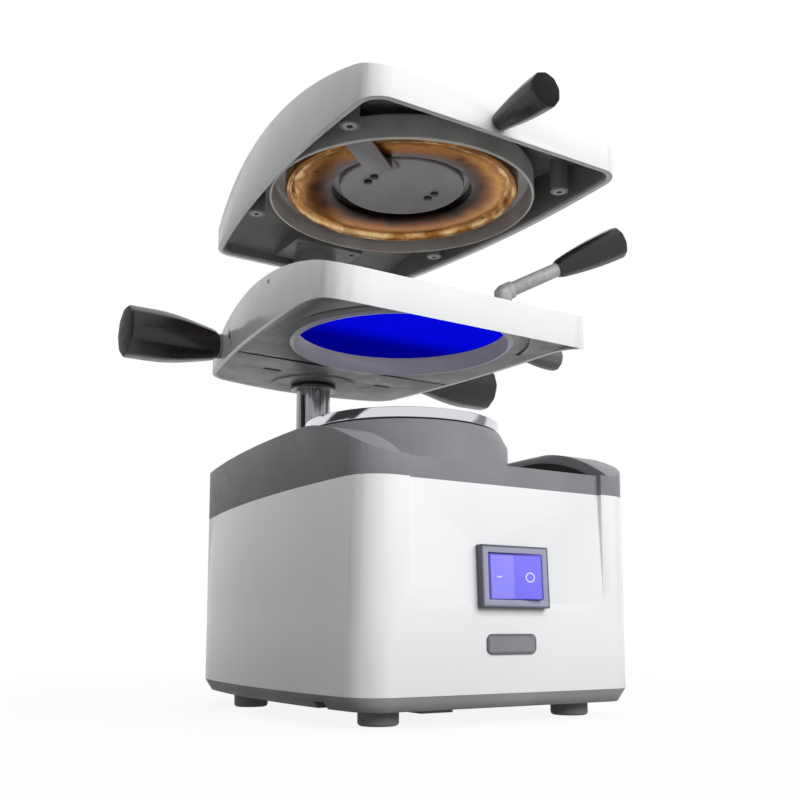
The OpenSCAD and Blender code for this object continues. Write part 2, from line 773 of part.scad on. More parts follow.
module carriage_frame() {
  lug_z = front_top - lug_t;
  placed() color("whitesmoke") difference() {
    intersection() {
      slab(carriage_z - skirt_drop - 1, carriage_top, carriage_plan());
      under_arch(arch_y, carriage_top, arch_r);
    }
    carriage_low_cut();
    difference() {
      slab(carriage_z - skirt_drop - 2, carriage_top + 1, carriage_plan(carriage_wall));
      intersection() {
        slab(plate_top, carriage_top + 1, carriage_plan(carriage_wall - 1));
        translate([-100, block_y, 0]) cube([200, 100, 400]);
        under_arch(arch_y, carriage_top, arch_r);
      }
      lever_place() disc(lug_z, carriage_top + 1, 5);
    }
    difference() {
      intersection() {
        slab(plate_top - 1, carriage_top, carriage_plan(2 * carriage_wall));
        under_arch(arch_y, carriage_top - 3, arch_r);
        translate([-100, block_y + 3, 0]) cube([200, 100, 400]);
      }
      at_column() disc(plate_top - 2, carriage_top, column_d / 2 + 7);
      mirrored() side_grip_place() translate([0, 0, -16]) cylinder(h = 18, r = 7);
    }
    lever_place() disc(front_top, carriage_top + 5, 5.8);
    lever_place() disc(lug_z - 1, carriage_top + 1, 2 + run_fit);
    at_column() disc(carriage_z - 1, carriage_top, column_d / 2 + 3);
    mirrored() across(hinge_y, hinge_z, 60, 100, pin_d / 2);
    across(-knob_y, carriage_z + knob_lift, half_w - 8, half_w + 5, 2.5 + run_fit);
    mirrored() side_grip_place() translate([0, 0, -13]) cylinder(h = 22, r = 4);
  }
}

module carriage_plate() {
  placed() color("gray") difference() {
    union() {
      slab(carriage_z, plate_top, carriage_plan(carriage_wall));
      intersection() {
        at_column() disc(carriage_z - boss_drop, carriage_z + 1, 28);
        slab(carriage_z - 2, carriage_z + 1, carriage_plan(carriage_wall + 1));
      }
    }
    disc(carriage_z - 5, plate_top + 1, ring_out);
    at_column() disc(carriage_z - 5, plate_top + 1, column_d / 2 + 3);
    mirrored() translate([24, window_r, carriage_z - 1]) cube([49, 1.8, 2.4]);
    mirrored() {
      translate([35.5, 86.5, 0]) disc(carriage_z - 2, carriage_z + 1.2, 2);
      translate([43.5, 86.5, 0]) disc(carriage_z - 2, carriage_z + 1.2, 2);
      translate([35.5, 84.5, carriage_z - 2]) cube([8, 4, 3.2]);
    }
    mirrored() intersection() {
      tube(carriage_z - 1, carriage_z + 1.5, ring_out + 8.8, ring_out + 6.4);
      rotate(-16) translate([0, -0.74 * (ring_out + 8.8), carriage_z - 2])
        cube([ring_out + 20, 0.74 * (ring_out + 8.8), 5]);
    }
  }
}

module window_ring() {
  placed() color("lightsteelblue") difference() {
    disc(carriage_z - 1, sheet_z, ring_out);
    disc(carriage_z - 2, sheet_z + 1, window_r);
    difference() {
      disc(carriage_z - 2, carriage_z, ring_out + 1);
      translate([0, 0, carriage_z - 1])
        cylinder(h = 1.01, r1 = window_r + 1.6, r2 = window_r + 2.6);
    }
  }
}

module sheet() { placed() color("blue") disc(sheet_z, sheet_z + sheet_t, sheet_d / 2); }

// Bush with a flange that hangs under the carriage's round boss
boss_drop = 0.9;
flange_t = 3;
module column_bushes() {
  placed() color("black") at_column() difference() {
    union() {
      disc(carriage_z - boss_drop, block_top - 0.6, column_d / 2 + 3);
      disc(carriage_z - boss_drop - flange_t, carriage_z - boss_drop, column_d / 2 + 3.6);
    }
    disc(carriage_z - 10, block_top, column_d / 2 + run_fit);
  }
}

module hinge_pins() {
  out = side_x(hinge_y, half_w) - 0.4;
  placed() color("silver") mirrored()
    across(hinge_y, hinge_z, out - carriage_wall - lid_gap - 6, out, pin_d / 2);
}

// On the outer face of the side wall, at the grip's back edge
module side_grip_place() {
  translate([side_x(side_grip_y, half_w), side_grip_y, carriage_z + side_grip_lift])
    rotate([0, 90, 0]) children();
}

module side_grips() {
  placed() color("black") mirrored() side_grip_place() translate([0, 0, ferrule_l + seat])
    grip(side_grip_l, side_grip_neck, side_grip_d, 4, 18);
}

module grip_ferrules() {
  placed() color("dimgray") mirrored() difference() {
    side_grip_place() translate([0, 0, -2])
      cylinder(h = 2 + ferrule_l, r = side_grip_neck / 2 - 2.5);
    slab(carriage_z - 10, carriage_top, carriage_plan());
    side_grip_place() translate([0, 0, -5]) cylinder(h = 20, r = 4);
  }
}

module grip_studs() {
  placed() color("silver") mirrored() side_grip_place()
    translate([0, 0, -13]) cylinder(h = 13 + ferrule_l + 17, r = 4);
}

// The upper clamp frame: an arched cover with its own window ring, on two hinge pins
module clamp_lid() {
  rim = carriage_wall + lid_gap;
  lid_low = sheet_z - 2.5;
  placed() color("whitesmoke") difference() {
    intersection() {
      slab(lid_low, carriage_top, carriage_plan(rim));
      under_arch(arch_y, carriage_top, arch_r);
      translate([-100, -150, 0]) cube([200, 150 + hinge_y + 4, 400]);
    }
    difference() {
      intersection() {
        slab(lid_low - 1, carriage_top, carriage_plan(rim + lid_t));
        under_arch(arch_y, carriage_top - lid_t, arch_r);
        translate([-100, -150, 0]) cube([200, 150 + hinge_y + 4 - lid_t, 400]);
      }
      disc(sheet_z + sheet_t + 0.1, carriage_top, window_r + window_wall - 0.2);
    }
    disc(lid_low - 1, sheet_z + sheet_t + 0.1, ring_out + 1.4);
    disc(lid_low - 2, carriage_top + 1, window_r);
    lever_place() disc(lid_low - 1, carriage_top, norm([hub_l, hub_r]) + hub_room);
    mirrored() across(hinge_y, hinge_z, 50, 100, pin_d / 2 + run_fit);
  }
}

// Hub of the lever: a drum on a stud, with a short collar round the rod's foot
lever_low = front_top + 0.3;
lever_mid = lever_low + 5.3;
hub_l = 5.5;
hub_r = lever_rod_d / 2 + 0.8;
hub_room = 0.7;
module lever_pose() {
  translate([lever_x, -lever_y, lever_mid]) rotate(-lever_yaw) rotate([0, 90 - lever_rise, 0])
    children();
}

module lever_hub() {
  placed() color("black") {
    lever_place() {
      disc(lever_low, lever_mid + 1, hub_r + 0.2);
      translate([0, 0, lever_mid + 1]) cylinder(h = 2.5, r1 = hub_r + 0.2, r2 = hub_r - 1.8);
      disc(plate_top + seat, lever_low + 0.1, 2);
      disc(plate_top + seat, front_top - lug_t - seat, 3.2);
    }
    lever_pose() cylinder(h = hub_l, r = hub_r);
  }
}

module lever_rod() {
  placed() color("silver") lever_pose() translate([0, 0, hub_l])
    cylinder(h = lever_rod_l + 12 - hub_l, r = lever_rod_d / 2);
}

module lever_grip() {
  placed() color("black") lever_pose() translate([0, 0, lever_rod_l])
    grip(lever_grip_l, grip_neck, grip_d, lever_rod_d / 2, 12);
}

module knob_place() {
  translate([side_x(-knob_y, half_w), -knob_y, carriage_z + knob_lift]) rotate([0, 90, 0])
    children();
}

module knob_screw() {
  reach = carriage_wall + lid_gap - seat;
  placed() color("silver") knob_place() translate([0, 0, -reach])
    cylinder(h = reach + 14, r = 2.5);
}

module lock_knob() {
  placed() color("dimgray") knob_place() translate([0, 0, seat])
    grip(knob_l, grip_neck, knob_d, 2.5, 14);
}

module head_shell() {
  placed() color("whitesmoke") difference() {
    intersection() {
      slab(head_z, head_top, head_plan());
      under_arch(head_crest_y, head_top, head_arch_r);
    }
    intersection() {
      slab(head_z - 1, head_top, head_plan(head_wall));
      under_arch(head_crest_y, head_top - head_wall, head_arch_r);
    }
    translate([head_grip_x, -front_y - 1, head_z + head_grip_lift]) rotate([-90, 0, 0])
      cylinder(h = head_wall + 2, r = 2.5);
  }
}

// Everything under the liner's arched ceiling
module under_liner() {
  under_arch(head_crest_y, liner_top - pan_t, head_arch_r);
}

module head_liner() {
  inset = head_wall + liner_fit;
  placed() color("darkslategray") difference() {
    intersection() {
      union() {
        difference() {
          slab(head_z + 1.5, head_top, head_plan(inset));
          intersection() {
            slab(head_z, head_top, head_plan(inset + pan_t));
            under_liner();
          }
        }
        mirrored() for (p = head_screws)
          translate([p[0], p[1], 0]) disc(head_z + 3, head_top, 5);
      }
      slab(head_z, head_top, head_plan(inset));
      under_arch(head_crest_y, liner_top, head_arch_r);
    }
    disc(head_z, bowl_top + seat, bowl_d / 2 + seat);
    at_column() disc(head_z, hub_roof + 5, hub_d / 2 + 0.1);
    mirrored() for (p = head_screws)
      translate([p[0], p[1], 0]) disc(head_z, head_z + 12, 1.6);
    translate([head_grip_x, -front_y, head_z + head_grip_lift]) rotate([-90, 0, 0])
      cylinder(h = 10, r = 4);
  }
}

module heater_bowl() {
  placed() color("silver") difference() {
    union() {
      disc(bowl_z, bowl_top, bowl_d / 2);
      intersection() {
        for (i = [0:2]) rotate(30 + 120 * i) translate([48, 0, 0]) disc(bowl_top - 1, head_top, 5);
        under_liner();
      }
    }
    disc(bowl_z - 1, bowl_in, bowl_d / 2 - bowl_t);
    disc(bowl_z - 1, bowl_top + 1, 4);
  }
}

// Spun dish with a bead at each edge of its trough
module heater_reflector() {
  r2 = reflector_d / 2;
  r1 = disc_d / 2 + 4;
  z = bowl_z + 4;
  placed() color("goldenrod") rotate_extrude($fn = 120) difference() {
    union() {
      polygon([
        [r1, bowl_in], [r1, z + 5.5], [r1 + 3, z + 3.2], [r1 + 10, z + 2.2], [r1 + 14, z + 4.2],
        [r2 - 7, z + 4.2], [r2 - 3, z + 0.8], [r2, z + 2], [r2, bowl_in]
      ]);
      translate([r1 + 10, z + 2.6]) circle(r = 2.4, $fn = 24);
      translate([r2 - 3, z + 2.2]) circle(r = 2.4, $fn = 24);
    }
    polygon([
      [r1 + 1.2, bowl_top], [r1 + 1.2, z + 6.2], [r1 + 4, z + 5], [r1 + 14, z + 5.4],
      [r2 - 6, z + 5.4], [r2 - 1.2, z + 4.8], [r2 - 1.2, bowl_top]
    ]);
  }
}

module heater_coil() {
  mid = (reflector_d + disc_d) / 4 + 2;
  placed() color("saddlebrown") rotate_extrude($fn = 120) union() {
    for (r = [mid - 7, mid, mid + 7]) translate([r, bowl_in - 1.6]) circle(r = 1.5, $fn = 24);
    translate([mid - 8, bowl_in - 0.9]) square([16, 0.9]);
  }
}

module heater_disc() {
  placed() color("slategray") {
    difference() {
      disc(disc_z, disc_z + disc_t, disc_d / 2);
      for (s = [-1, 1], t = [-3.5, 3.5])
        translate([s * 20.5, t, 0]) disc(disc_z - 1, disc_z + disc_t + 1, 1.55);
    }
    disc(disc_z + disc_t - 0.1, bowl_in, 7);
  }
}

module disc_screws() {
  placed() color("silver") for (s = [-1, 1], t = [-3.5, 3.5])
    translate([s * 20.5, t, 0]) {
      disc(disc_z - 0.9, disc_z, 2.4);
      disc(disc_z - 0.1, disc_z + disc_t + 1, 1.5);
    }
}

// Bent strip that carries the disc: under the disc, down, and out to the bowl's wall
bar_turn = -141;
bar_t = 1.6;
module heater_bar() {
  reach = bowl_d / 2 - bowl_t;
  bar_z = bowl_z + 2;
  placed() color("dimgray") rotate(bar_turn) intersection() {
    union() {
      translate([disc_d / 2 - 11, -bar_w / 2, disc_z - bar_t]) cube([13, bar_w, bar_t]);
      translate([disc_d / 2 + 2 - bar_t, -bar_w / 2, bar_z]) cube([bar_t, bar_w, disc_z - bar_z]);
      translate([disc_d / 2 + 2 - bar_t, -bar_w / 2, bar_z]) cube([reach, bar_w, bar_t]);
      translate([reach - 1 - bar_t, -bar_w / 2, bar_z]) cube([5, bar_w, 4]);
    }
    disc(bowl_z, bowl_in, reach);
  }
}

module head_hub() {
  placed() color("dimgray") at_column() difference() {
    intersection() {
      union() {
        disc(hub_z, head_top, hub_d / 2);
        translate([-24, -22, head_z + 5]) cube([48, 33, 20]);
      }
      translate([0, -column_y, 0]) under_liner();
    }
    disc(hub_z - 1, hub_roof, column_d / 2 + 2);
    mirrored() translate([19, -16, 0]) disc(head_z, head_z + 12, 1.6);
  }
}

module hub_bush() {
  placed() color("gold") at_column()
    tube(hub_z, hub_roof, column_d / 2 + 2, column_d / 2 + run_fit);
}

module head_grip_place() {
  translate([head_grip_x, -front_y, head_z + head_grip_lift]) rotate([90, 0, 0]) children();
}

module head_grip() {
  placed() color("black") head_grip_place() translate([0, 0, stud_gap])
    grip(head_grip_l, grip_neck, grip_d, 2.5, 14);
}

module head_grip_stud() {
  placed() color("silver") head_grip_place() {
    translate([0, 0, -head_wall]) cylinder(h = head_wall + 13, r = 2.5);
    translate([0, 0, -head_wall - 2.5]) cylinder(h = 2.5, r = 3.6, $fn = 6);
  }
}

housing();
cap();
shoulder_liners();
bottom_tray();
feet();
foot_screws();
platform_gasket();
platform_ring();
platform_plate();
switch_bezel();
switch_rocker();
switch_body();
badge_plate();
mains_inlet();
inlet_pins();
motor();
motor_shaft();
fan_housing();
fan_wheel();
suction_duct();
motor_mounts();
column_socket();
column();
shaft_collars();
carriage_frame();
carriage_plate();
window_ring();
sheet();
column_bushes();
hinge_pins();
side_grips();
grip_ferrules();
grip_studs();
clamp_lid();
lever_hub();
lever_rod();
lever_grip();
knob_screw();
lock_knob();
head_shell();
head_liner();
heater_bowl();
heater_reflector();
heater_coil();
heater_disc();
disc_screws();
heater_bar();
head_hub();
hub_bush();
head_grip();
head_grip_stud();
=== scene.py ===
import json
import math

import bmesh
import bpy
from mathutils import Matrix, Vector
from mathutils.bvhtree import BVHTree


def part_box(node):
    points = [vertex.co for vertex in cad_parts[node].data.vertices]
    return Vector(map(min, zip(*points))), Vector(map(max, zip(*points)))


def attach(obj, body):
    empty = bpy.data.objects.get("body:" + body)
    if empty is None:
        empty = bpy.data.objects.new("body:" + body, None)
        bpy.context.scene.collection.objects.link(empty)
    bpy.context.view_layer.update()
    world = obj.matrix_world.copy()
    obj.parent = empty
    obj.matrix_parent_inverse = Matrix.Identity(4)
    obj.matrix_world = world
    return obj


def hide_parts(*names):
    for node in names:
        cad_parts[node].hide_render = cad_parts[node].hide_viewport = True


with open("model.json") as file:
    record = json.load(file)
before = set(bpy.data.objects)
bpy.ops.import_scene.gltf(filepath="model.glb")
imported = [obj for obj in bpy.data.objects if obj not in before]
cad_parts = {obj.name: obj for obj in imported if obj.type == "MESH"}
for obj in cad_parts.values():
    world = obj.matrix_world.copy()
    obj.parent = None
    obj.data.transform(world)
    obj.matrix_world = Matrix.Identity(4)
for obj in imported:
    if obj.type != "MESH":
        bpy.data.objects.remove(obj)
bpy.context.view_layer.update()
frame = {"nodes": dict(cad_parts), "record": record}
joints = {joint["name"]: joint for joint in frame["record"]["behaviour"]["joints"]}
bodyOf = {node: body for body, nodes in frame["record"]["behaviour"]["bodies"].items() for node in nodes}
mm = 0.001


def middle(nodeName):
    low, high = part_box(nodeName)
    return (Vector(low) + Vector(high)) / 2


formY = middle("platform_ring").y  # the forming axis runs through the platform, the window and the heater
print("frame loaded, forming axis at y", round(formY / mm, 2), "mm")


# colours and nodes

noiseLow, noiseHigh = 0.3, 0.7  # nearly all of a noise lies between these
colourMix = {"data_type": "RGBA"}


def linearColour(hexText):
    channels = [int(hexText[i : i + 2], 16) / 255 for i in (1, 3, 5)]
    return [c / 12.92 if c <= 0.04045 else ((c + 0.055) / 1.055) ** 2.4 for c in channels] + [1.0]


def addNode(tree, kind, settings=None, **inputs):
    # an input goes by its name, or by its place as i0, i1 and so on; a socket is linked, a value is set
    node = tree.nodes.new("ShaderNode" + kind)
    for name, value in (settings or {}).items():
        setattr(node, name, value)
    for name, value in inputs.items():
        socket = node.inputs[int(name[1:])] if name[0] == "i" and name[1:].isdigit() else node.inputs[name]
        if isinstance(value, bpy.types.NodeSocket):
            tree.links.new(value, socket)
        else:
            socket.default_value = value
    return node


def startMaterial(name, colour, roughness, metallic=0.0, ior=1.5, specular=0.5):
    material = bpy.data.materials.new(name)
    material.use_nodes = True
    tree = material.node_tree
    shader = tree.nodes["Principled BSDF"]
    shader.inputs["Base Color"].default_value = linearColour(colour)
    shader.inputs["Roughness"].default_value = roughness
    shader.inputs["Metallic"].default_value = metallic
    shader.inputs["IOR"].default_value = ior
    shader.inputs["Specular IOR Level"].default_value = specular
    return material, tree, shader


def objectPoint(tree, stretch=(1, 1, 1), centre=(0, 0, 0)):
    place = addNode(tree, "TexCoord")
    return addNode(
        tree, "Mapping", {"vector_type": "POINT"}, Vector=place.outputs["Object"],
        Location=[-centre[i] * stretch[i] for i in range(3)], Scale=stretch,
    ).outputs["Vector"]


def layGrain(tree, shader, point, sizeMm, detail, colours=None, roughness=None, depthMm=None):
    # one grain of a surface: it clouds the colour, wanders through the gloss or stands up as grit
    grain = addNode(tree, "TexNoise", Vector=point, Scale=1 / (sizeMm * mm), Detail=detail).outputs["Fac"]
    if colours:
        share = addNode(tree, "MapRange", Value=grain, i1=noiseLow, i2=noiseHigh, i3=0.0, i4=1.0)
        mix = addNode(
            tree, "Mix", colourMix, Factor=share.outputs["Result"],
            i6=linearColour(colours[0]), i7=linearColour(colours[1]),
        )
        tree.links.new(mix.outputs[2], shader.inputs["Base Color"])
    if roughness:
        gloss = addNode(
            tree, "MapRange", Value=grain, i1=noiseLow, i2=noiseHigh, i3=roughness[0], i4=roughness[1],
        )
        tree.links.new(gloss.outputs["Result"], shader.inputs["Roughness"])
    if depthMm:
        bump = addNode(tree, "Bump", Height=grain, Strength=1.0, Distance=depthMm * mm)
        tree.links.new(bump.outputs["Normal"], shader.inputs["Normal"])
    return grain


# materials


def glossWhiteAbs():
    # injection-moulded white ABS: glossy, with a trace of orange peel that softens long reflections
    material, tree, shader = startMaterial("gloss_white_abs", "#F1F2F3", 0.18, ior=1.53)
    point = objectPoint(tree)
    layGrain(tree, shader, point, 70, 2, colours=("#EFF0F2", "#F3F4F5"))
    layGrain(tree, shader, point, 25, 2, roughness=(0.15, 0.21))
    layGrain(tree, shader, point, 4, 1, depthMm=0.003)
    return material


def sparkedGreyAbs(name, dark, light, roughness):
    # grey ABS from a spark-eroded mould: an even fine grain that kills sharp reflections
    material, tree, shader = startMaterial(name, light, roughness, ior=1.53, specular=0.12)
    point = objectPoint(tree)
    layGrain(tree, shader, point, 30, 3, colours=(dark, light))
    layGrain(tree, shader, point, 6, 2, roughness=(roughness - 0.05, roughness + 0.06))
    layGrain(tree, shader, point, 0.7, 2, depthMm=0.02)  # real grit is 0.1 mm, drawn coarser to show
    return material


bandEdge = (-0.3, 0.5)  # mm over which a plate's band of painted edge shade fades in


def paintedEdgeShade(tree, nodeName, rimMm):
    # share of a band of painted shade that darkens the rounded front edge of a plate
    low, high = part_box(nodeName)
    away = addNode(tree, "SeparateXYZ", Vector=objectPoint(tree, centre=tuple(middle(nodeName)))).outputs
    reach = []
    for axis, letter in ((0, "X"), (2, "Z")):
        size = addNode(tree, "Math", {"operation": "ABSOLUTE"}, i0=away[letter]).outputs[0]
        inside = (high[axis] - low[axis]) / 2 - rimMm * mm
        reach.append(addNode(tree, "Math", {"operation": "SUBTRACT"}, i0=size, i1=inside).outputs[0])
    edge = addNode(tree, "Math", {"operation": "MAXIMUM"}, i0=reach[0], i1=reach[1]).outputs[0]
    return addNode(
        tree, "MapRange", Value=edge, i1=bandEdge[0] * mm, i2=bandEdge[1] * mm, i3=0.0, i4=1.0,
    ).outputs["Result"]


def edgedGreyAbs(name, nodeName, rimMm, rim, dark, light):
    # moulded grey ABS plate: a satin, finely gritted face with a darker band of painted shade round its
    # front edge
    material, tree, shader = startMaterial(name, light, 0.4, ior=1.53, specular=0.3)
    point = objectPoint(tree)
    cloud = addNode(
        tree, "Mix", colourMix, Factor=layGrain(tree, shader, point, 9, 3),
        i6=linearColour(dark), i7=linearColour(light),
    ).outputs[2]
    edgeShaded = addNode(
        tree, "Mix", colourMix, Factor=paintedEdgeShade(tree, nodeName, rimMm), i6=cloud, i7=linearColour(rim),
    ).outputs[2]
    tree.links.new(edgeShaded, shader.inputs["Base Color"])
    layGrain(tree, shader, point, 0.7, 2, depthMm=0.02)
    return material


def blackPhenolic(name, colour, roughness, specular):
    # compression-moulded phenolic: deep black, a soft gloss with small sink marks, duller where it is cut
    material, tree, shader = startMaterial(name, colour, roughness, specular=specular)
    point = objectPoint(tree)
    layGrain(tree, shader, point, 5, 2, roughness=(roughness - 0.06, roughness + 0.06))
    layGrain(tree, shader, point, 2.5, 2, depthMm=0.04)
    return material


def blackSheetPaintedShade():
    # black sheet on the shoulders' inner walls: its black is painted shade for the deep shade there; dull,
    # and slightly rough
    material, tree, shader = startMaterial("black_sheet_painted_shade", "#0A0A0A", 0.5)
    layGrain(tree, shader, objectPoint(tree), 1.2, 2, depthMm=0.02)
    return material


def mouldedRubber(name, dark, light):
    # moulded nitrile rubber: dull, powdery where it has bloomed
    material, tree, shader = startMaterial(name, dark, 0.75, ior=1.52)
    point = objectPoint(tree)
    layGrain(tree, shader, point, 7, 4, colours=(dark, light))
    layGrain(tree, shader, point, 0.8, 2, depthMm=0.03)
    return material


def printedInk():
    # white ink pressed on the lens with a pad: opaque and dull beside the gloss of the acrylic
    material, tree, shader = startMaterial("white_ink", "#F0F0F4", 0.75, ior=1.52)
    point = objectPoint(tree)
    layGrain(tree, shader, point, 7, 4, colours=("#F0F0F4", "#FAFAFC"))
    layGrain(tree, shader, point, 0.8, 2, depthMm=0.03)
    return material


turnedRings = {"groove": 0.5922, "depth": 0.002}  # mm; the real feed is about 0.1, drawn coarser to show
waveUnit = 2 * math.pi / 20  # length of one wave in a wave node at a scale of 1


def turnedAluminium():
    # aluminium turned and polished on a lathe: a clear mirror with fine rings about the forming axis
    material, tree, shader = startMaterial("turned_aluminium", "#D9DAE0", 0.1, metallic=1.0)
    point = objectPoint(tree, centre=(0, formY, 0))
    layGrain(tree, shader, point, 9, 2, roughness=(0.08, 0.16))
    rings = addNode(
        tree, "TexWave", {"wave_type": "RINGS", "rings_direction": "Z"}, Vector=point,
        Scale=waveUnit / (turnedRings["groove"] * mm), Distortion=0.4, Detail=1.0,
    ).outputs["Fac"]
    bump = addNode(tree, "Bump", Height=rings, Strength=1.0, Distance=turnedRings["depth"] * mm)
    tree.links.new(bump.outputs["Normal"], shader.inputs["Normal"])
    return material


def hardChrome():
    # hard-chromed steel bar, ground and polished along its length: its dark colour is painted reflection of
    # dark surroundings, and its long faint streaks are partly polish marks and partly painted reflection
    material, tree, shader = startMaterial("hard_chrome", "#8A8B8E", 0.1, metallic=1.0)
    along = objectPoint(tree, stretch=(1, 1, 0.03))
    layGrain(tree, shader, along, 1.6, 3, colours=("#66676A", "#A9AAAD"), roughness=(0.06, 0.18))
    return material


def plainMetal(name, dark, light, roughness):
    # zinc-plated or blackened steel, or sintered bronze: a soft shine with a faint cloud
    material, tree, shader = startMaterial(name, light, roughness, metallic=1.0)
    layGrain(tree, shader, objectPoint(tree), 2.5, 3, colours=(dark, light))
    return material


def satinAluminium():
    # drawn aluminium rod, satin anodised: pale grey, soft, without clear reflections
    material, tree, shader = startMaterial("satin_aluminium", "#B4B5B6", 0.5, metallic=0.35)
    layGrain(tree, shader, objectPoint(tree), 3, 3, colours=("#A5A6A7", "#BDBEBF"))
    return material


def enamelledCasting(name, dark, light, roughness):
    # die casting with stoved enamel: slightly soft gloss over a faintly uneven casting
    material, tree, shader = startMaterial(name, light, roughness, ior=1.52)
    point = objectPoint(tree)
    layGrain(tree, shader, point, 25, 4, colours=(dark, light))
    layGrain(tree, shader, point, 9, 2, roughness=(roughness - 0.06, roughness + 0.08))
    layGrain(tree, shader, point, 4, 3, depthMm=0.02)
    return material


def aluminisedSteel():
    # aluminised steel spun into a dish: grey metal, dulled and clouded by heat
    material, tree, shader = startMaterial("aluminised_steel", "#DCDCD9", 0.42, metallic=0.2)
    point = objectPoint(tree, centre=(0, formY, 0))
    layGrain(tree, shader, point, 18, 4, colours=("#CCCBC8", "#E4E4E1"), roughness=(0.36, 0.5))
    return material


# front is the colour of the painted glow that stands in for light through the sheet; rear is its painted
# shade, faded in from paintedShadeFrom to paintedShadeTo mm behind the axis; glow is the strength of that
# painted glow
sheet = {
    "front": "#0409F6", "rear": "#000084", "paintedShadeFrom": 4.0, "paintedShadeTo": 36.0, "glow": 0.62,
    "edge": 0.2, "segments": 128,
}


def blueFoil():
    # underside of the blue thermoforming sheet: deep and even blue, with a painted glow that stands in for
    # light through it from above, and painted shade towards the rear
    material, tree, shader = startMaterial("blue_forming_sheet_painted_glow", "#0408D0", 0.5, ior=1.3, specular=0.0)
    rearward = addNode(tree, "SeparateXYZ", Vector=objectPoint(tree, centre=(0, formY, 0))).outputs["Y"]
    paintedRearShade = addNode(
        tree, "MapRange", {"interpolation_type": "SMOOTHSTEP"}, Value=rearward,
        i1=sheet["paintedShadeFrom"] * mm, i2=sheet["paintedShadeTo"] * mm, i3=0.0, i4=1.0,
    ).outputs["Result"]
    glow = addNode(
        tree, "Mix", colourMix, Factor=paintedRearShade,
        i6=linearColour(sheet["front"]), i7=linearColour(sheet["rear"]),
    )
    tree.links.new(glow.outputs[2], shader.inputs["Emission Color"])
    shader.inputs["Emission Strength"].default_value = sheet["glow"]
    return material


def blueGloss():
    # top of the same sheet: clear gloss as it leaves the rollers
    material, tree, shader = startMaterial("blue_sheet_top", "#0C12D8", 0.22)
    layGrain(tree, shader, objectPoint(tree), 30, 1, depthMm=0.02)
    return material


# flat and raised are painted lit and shaded copies of one violet for the two tilted halves; edge is painted
# shade in the gap round the rocker
rocker = {
    "ridgeX": -1.8, "ridgeSoft": 0.2, "rim": 1.5, "glow": 0.25,
    "flat": "#8A84EE", "raised": "#746EE8", "edge": "#4A4598",
}


def violetLens():
    # rocker of translucent violet acrylic with a lamp behind it: paler on its flat half and darker on its
    # raised half, painted light and shade of how each half tilts to the light, and darker still at its
    # edge, painted shade in the gap round it
    material, tree, shader = startMaterial("violet_acrylic", "#776FEC", 0.3, ior=1.49, specular=0.3)
    point = objectPoint(tree, centre=(rocker["ridgeX"] * mm, 0, 0))
    sideways = addNode(tree, "SeparateXYZ", Vector=point).outputs["X"]
    half = addNode(
        tree, "MapRange", Value=sideways,
        i1=-rocker["ridgeSoft"] * mm, i2=rocker["ridgeSoft"] * mm, i3=0.0, i4=1.0,
    ).outputs["Result"]
    litAndShadedHalves = addNode(
        tree, "Mix", colourMix, Factor=half,
        i6=linearColour(rocker["flat"]), i7=linearColour(rocker["raised"]),
    ).outputs[2]
    halvesWithEdgeShade = addNode(
        tree, "Mix", colourMix, Factor=paintedEdgeShade(tree, "switch_rocker", rocker["rim"]),
        i6=litAndShadedHalves, i7=linearColour(rocker["edge"]),
    ).outputs[2]
    tree.links.new(halvesWithEdgeShade, shader.inputs["Base Color"])
    tree.links.new(halvesWithEdgeShade, shader.inputs["Emission Color"])
    shader.inputs["Emission Strength"].default_value = rocker["glow"]
    return material


# heat stains with painted light: the near-black first stops are partly painted shade beside the disc, and
# the pale stop at 0.8 is a painted highlight on the crest of the roll
stainsAndPaintedLight = {
    "from": 39.0, "to": 68.0, "wander": 2.6,  # mm from the forming axis
    "colours": [
        (0.0, "#120B08"), (0.2, "#3A2010"), (0.34, "#824A1C"), (0.5, "#B5752A"), (0.6, "#CC8E3E"),
        (0.7, "#A2631F"), (0.8, "#F2CE92"), (0.88, "#A66C2C"), (1.0, "#6A4420"),
    ],
}


def stainedBrassPaintedLight():
    # spun reflector of brass-coloured steel, stained in rings by the heat: gold outside and brown inside,
    # where part of the brown is painted shade beside the disc; a pale ring is a painted highlight on the
    # roll
    material, tree, shader = startMaterial("heat_stained_reflector_painted_light", "#C98F42", 0.3, metallic=0.85)
    point = objectPoint(tree, centre=(0, formY, 0))
    cloud = layGrain(tree, shader, point, 13, 5, roughness=(0.24, 0.4), depthMm=0.1)
    across = addNode(tree, "VectorMath", {"operation": "MULTIPLY"}, i0=point, i1=(1, 1, 0)).outputs[0]
    radius = addNode(tree, "VectorMath", {"operation": "LENGTH"}, i0=across).outputs["Value"]
    wander = addNode(
        tree, "MapRange", Value=cloud, i1=noiseLow, i2=noiseHigh,
        i3=-stainsAndPaintedLight["wander"] * mm, i4=stainsAndPaintedLight["wander"] * mm,
    ).outputs["Result"]
    place = addNode(tree, "Math", {"operation": "ADD"}, i0=radius, i1=wander).outputs[0]
    share = addNode(
        tree, "MapRange", Value=place, i1=stainsAndPaintedLight["from"] * mm, i2=stainsAndPaintedLight["to"] * mm, i3=0.0, i4=1.0,
    ).outputs["Result"]
    rings = addNode(tree, "ValToRGB", Fac=share)
    stops = rings.color_ramp.elements
    stops[0].color = linearColour(stainsAndPaintedLight["colours"][0][1])
    stops[1].color = linearColour(stainsAndPaintedLight["colours"][-1][1])
    for spot, colour in stainsAndPaintedLight["colours"][1:-1]:
        stops.new(spot).color = linearColour(colour)
    tree.links.new(rings.outputs["Color"], shader.inputs["Base Color"])
    return material


def violetEnamel():
    # vitreous enamel on steel, grey-violet, with darker heat clouds
    material, tree, shader = startMaterial("grey_violet_enamel", "#A19CA0", 0.42, ior=1.55)
    point = objectPoint(tree)
    layGrain(tree, shader, point, 26, 3, colours=("#948F92", "#ABA7AB"))
    layGrain(tree, shader, point, 1.5, 3, depthMm=0.02)
    return material


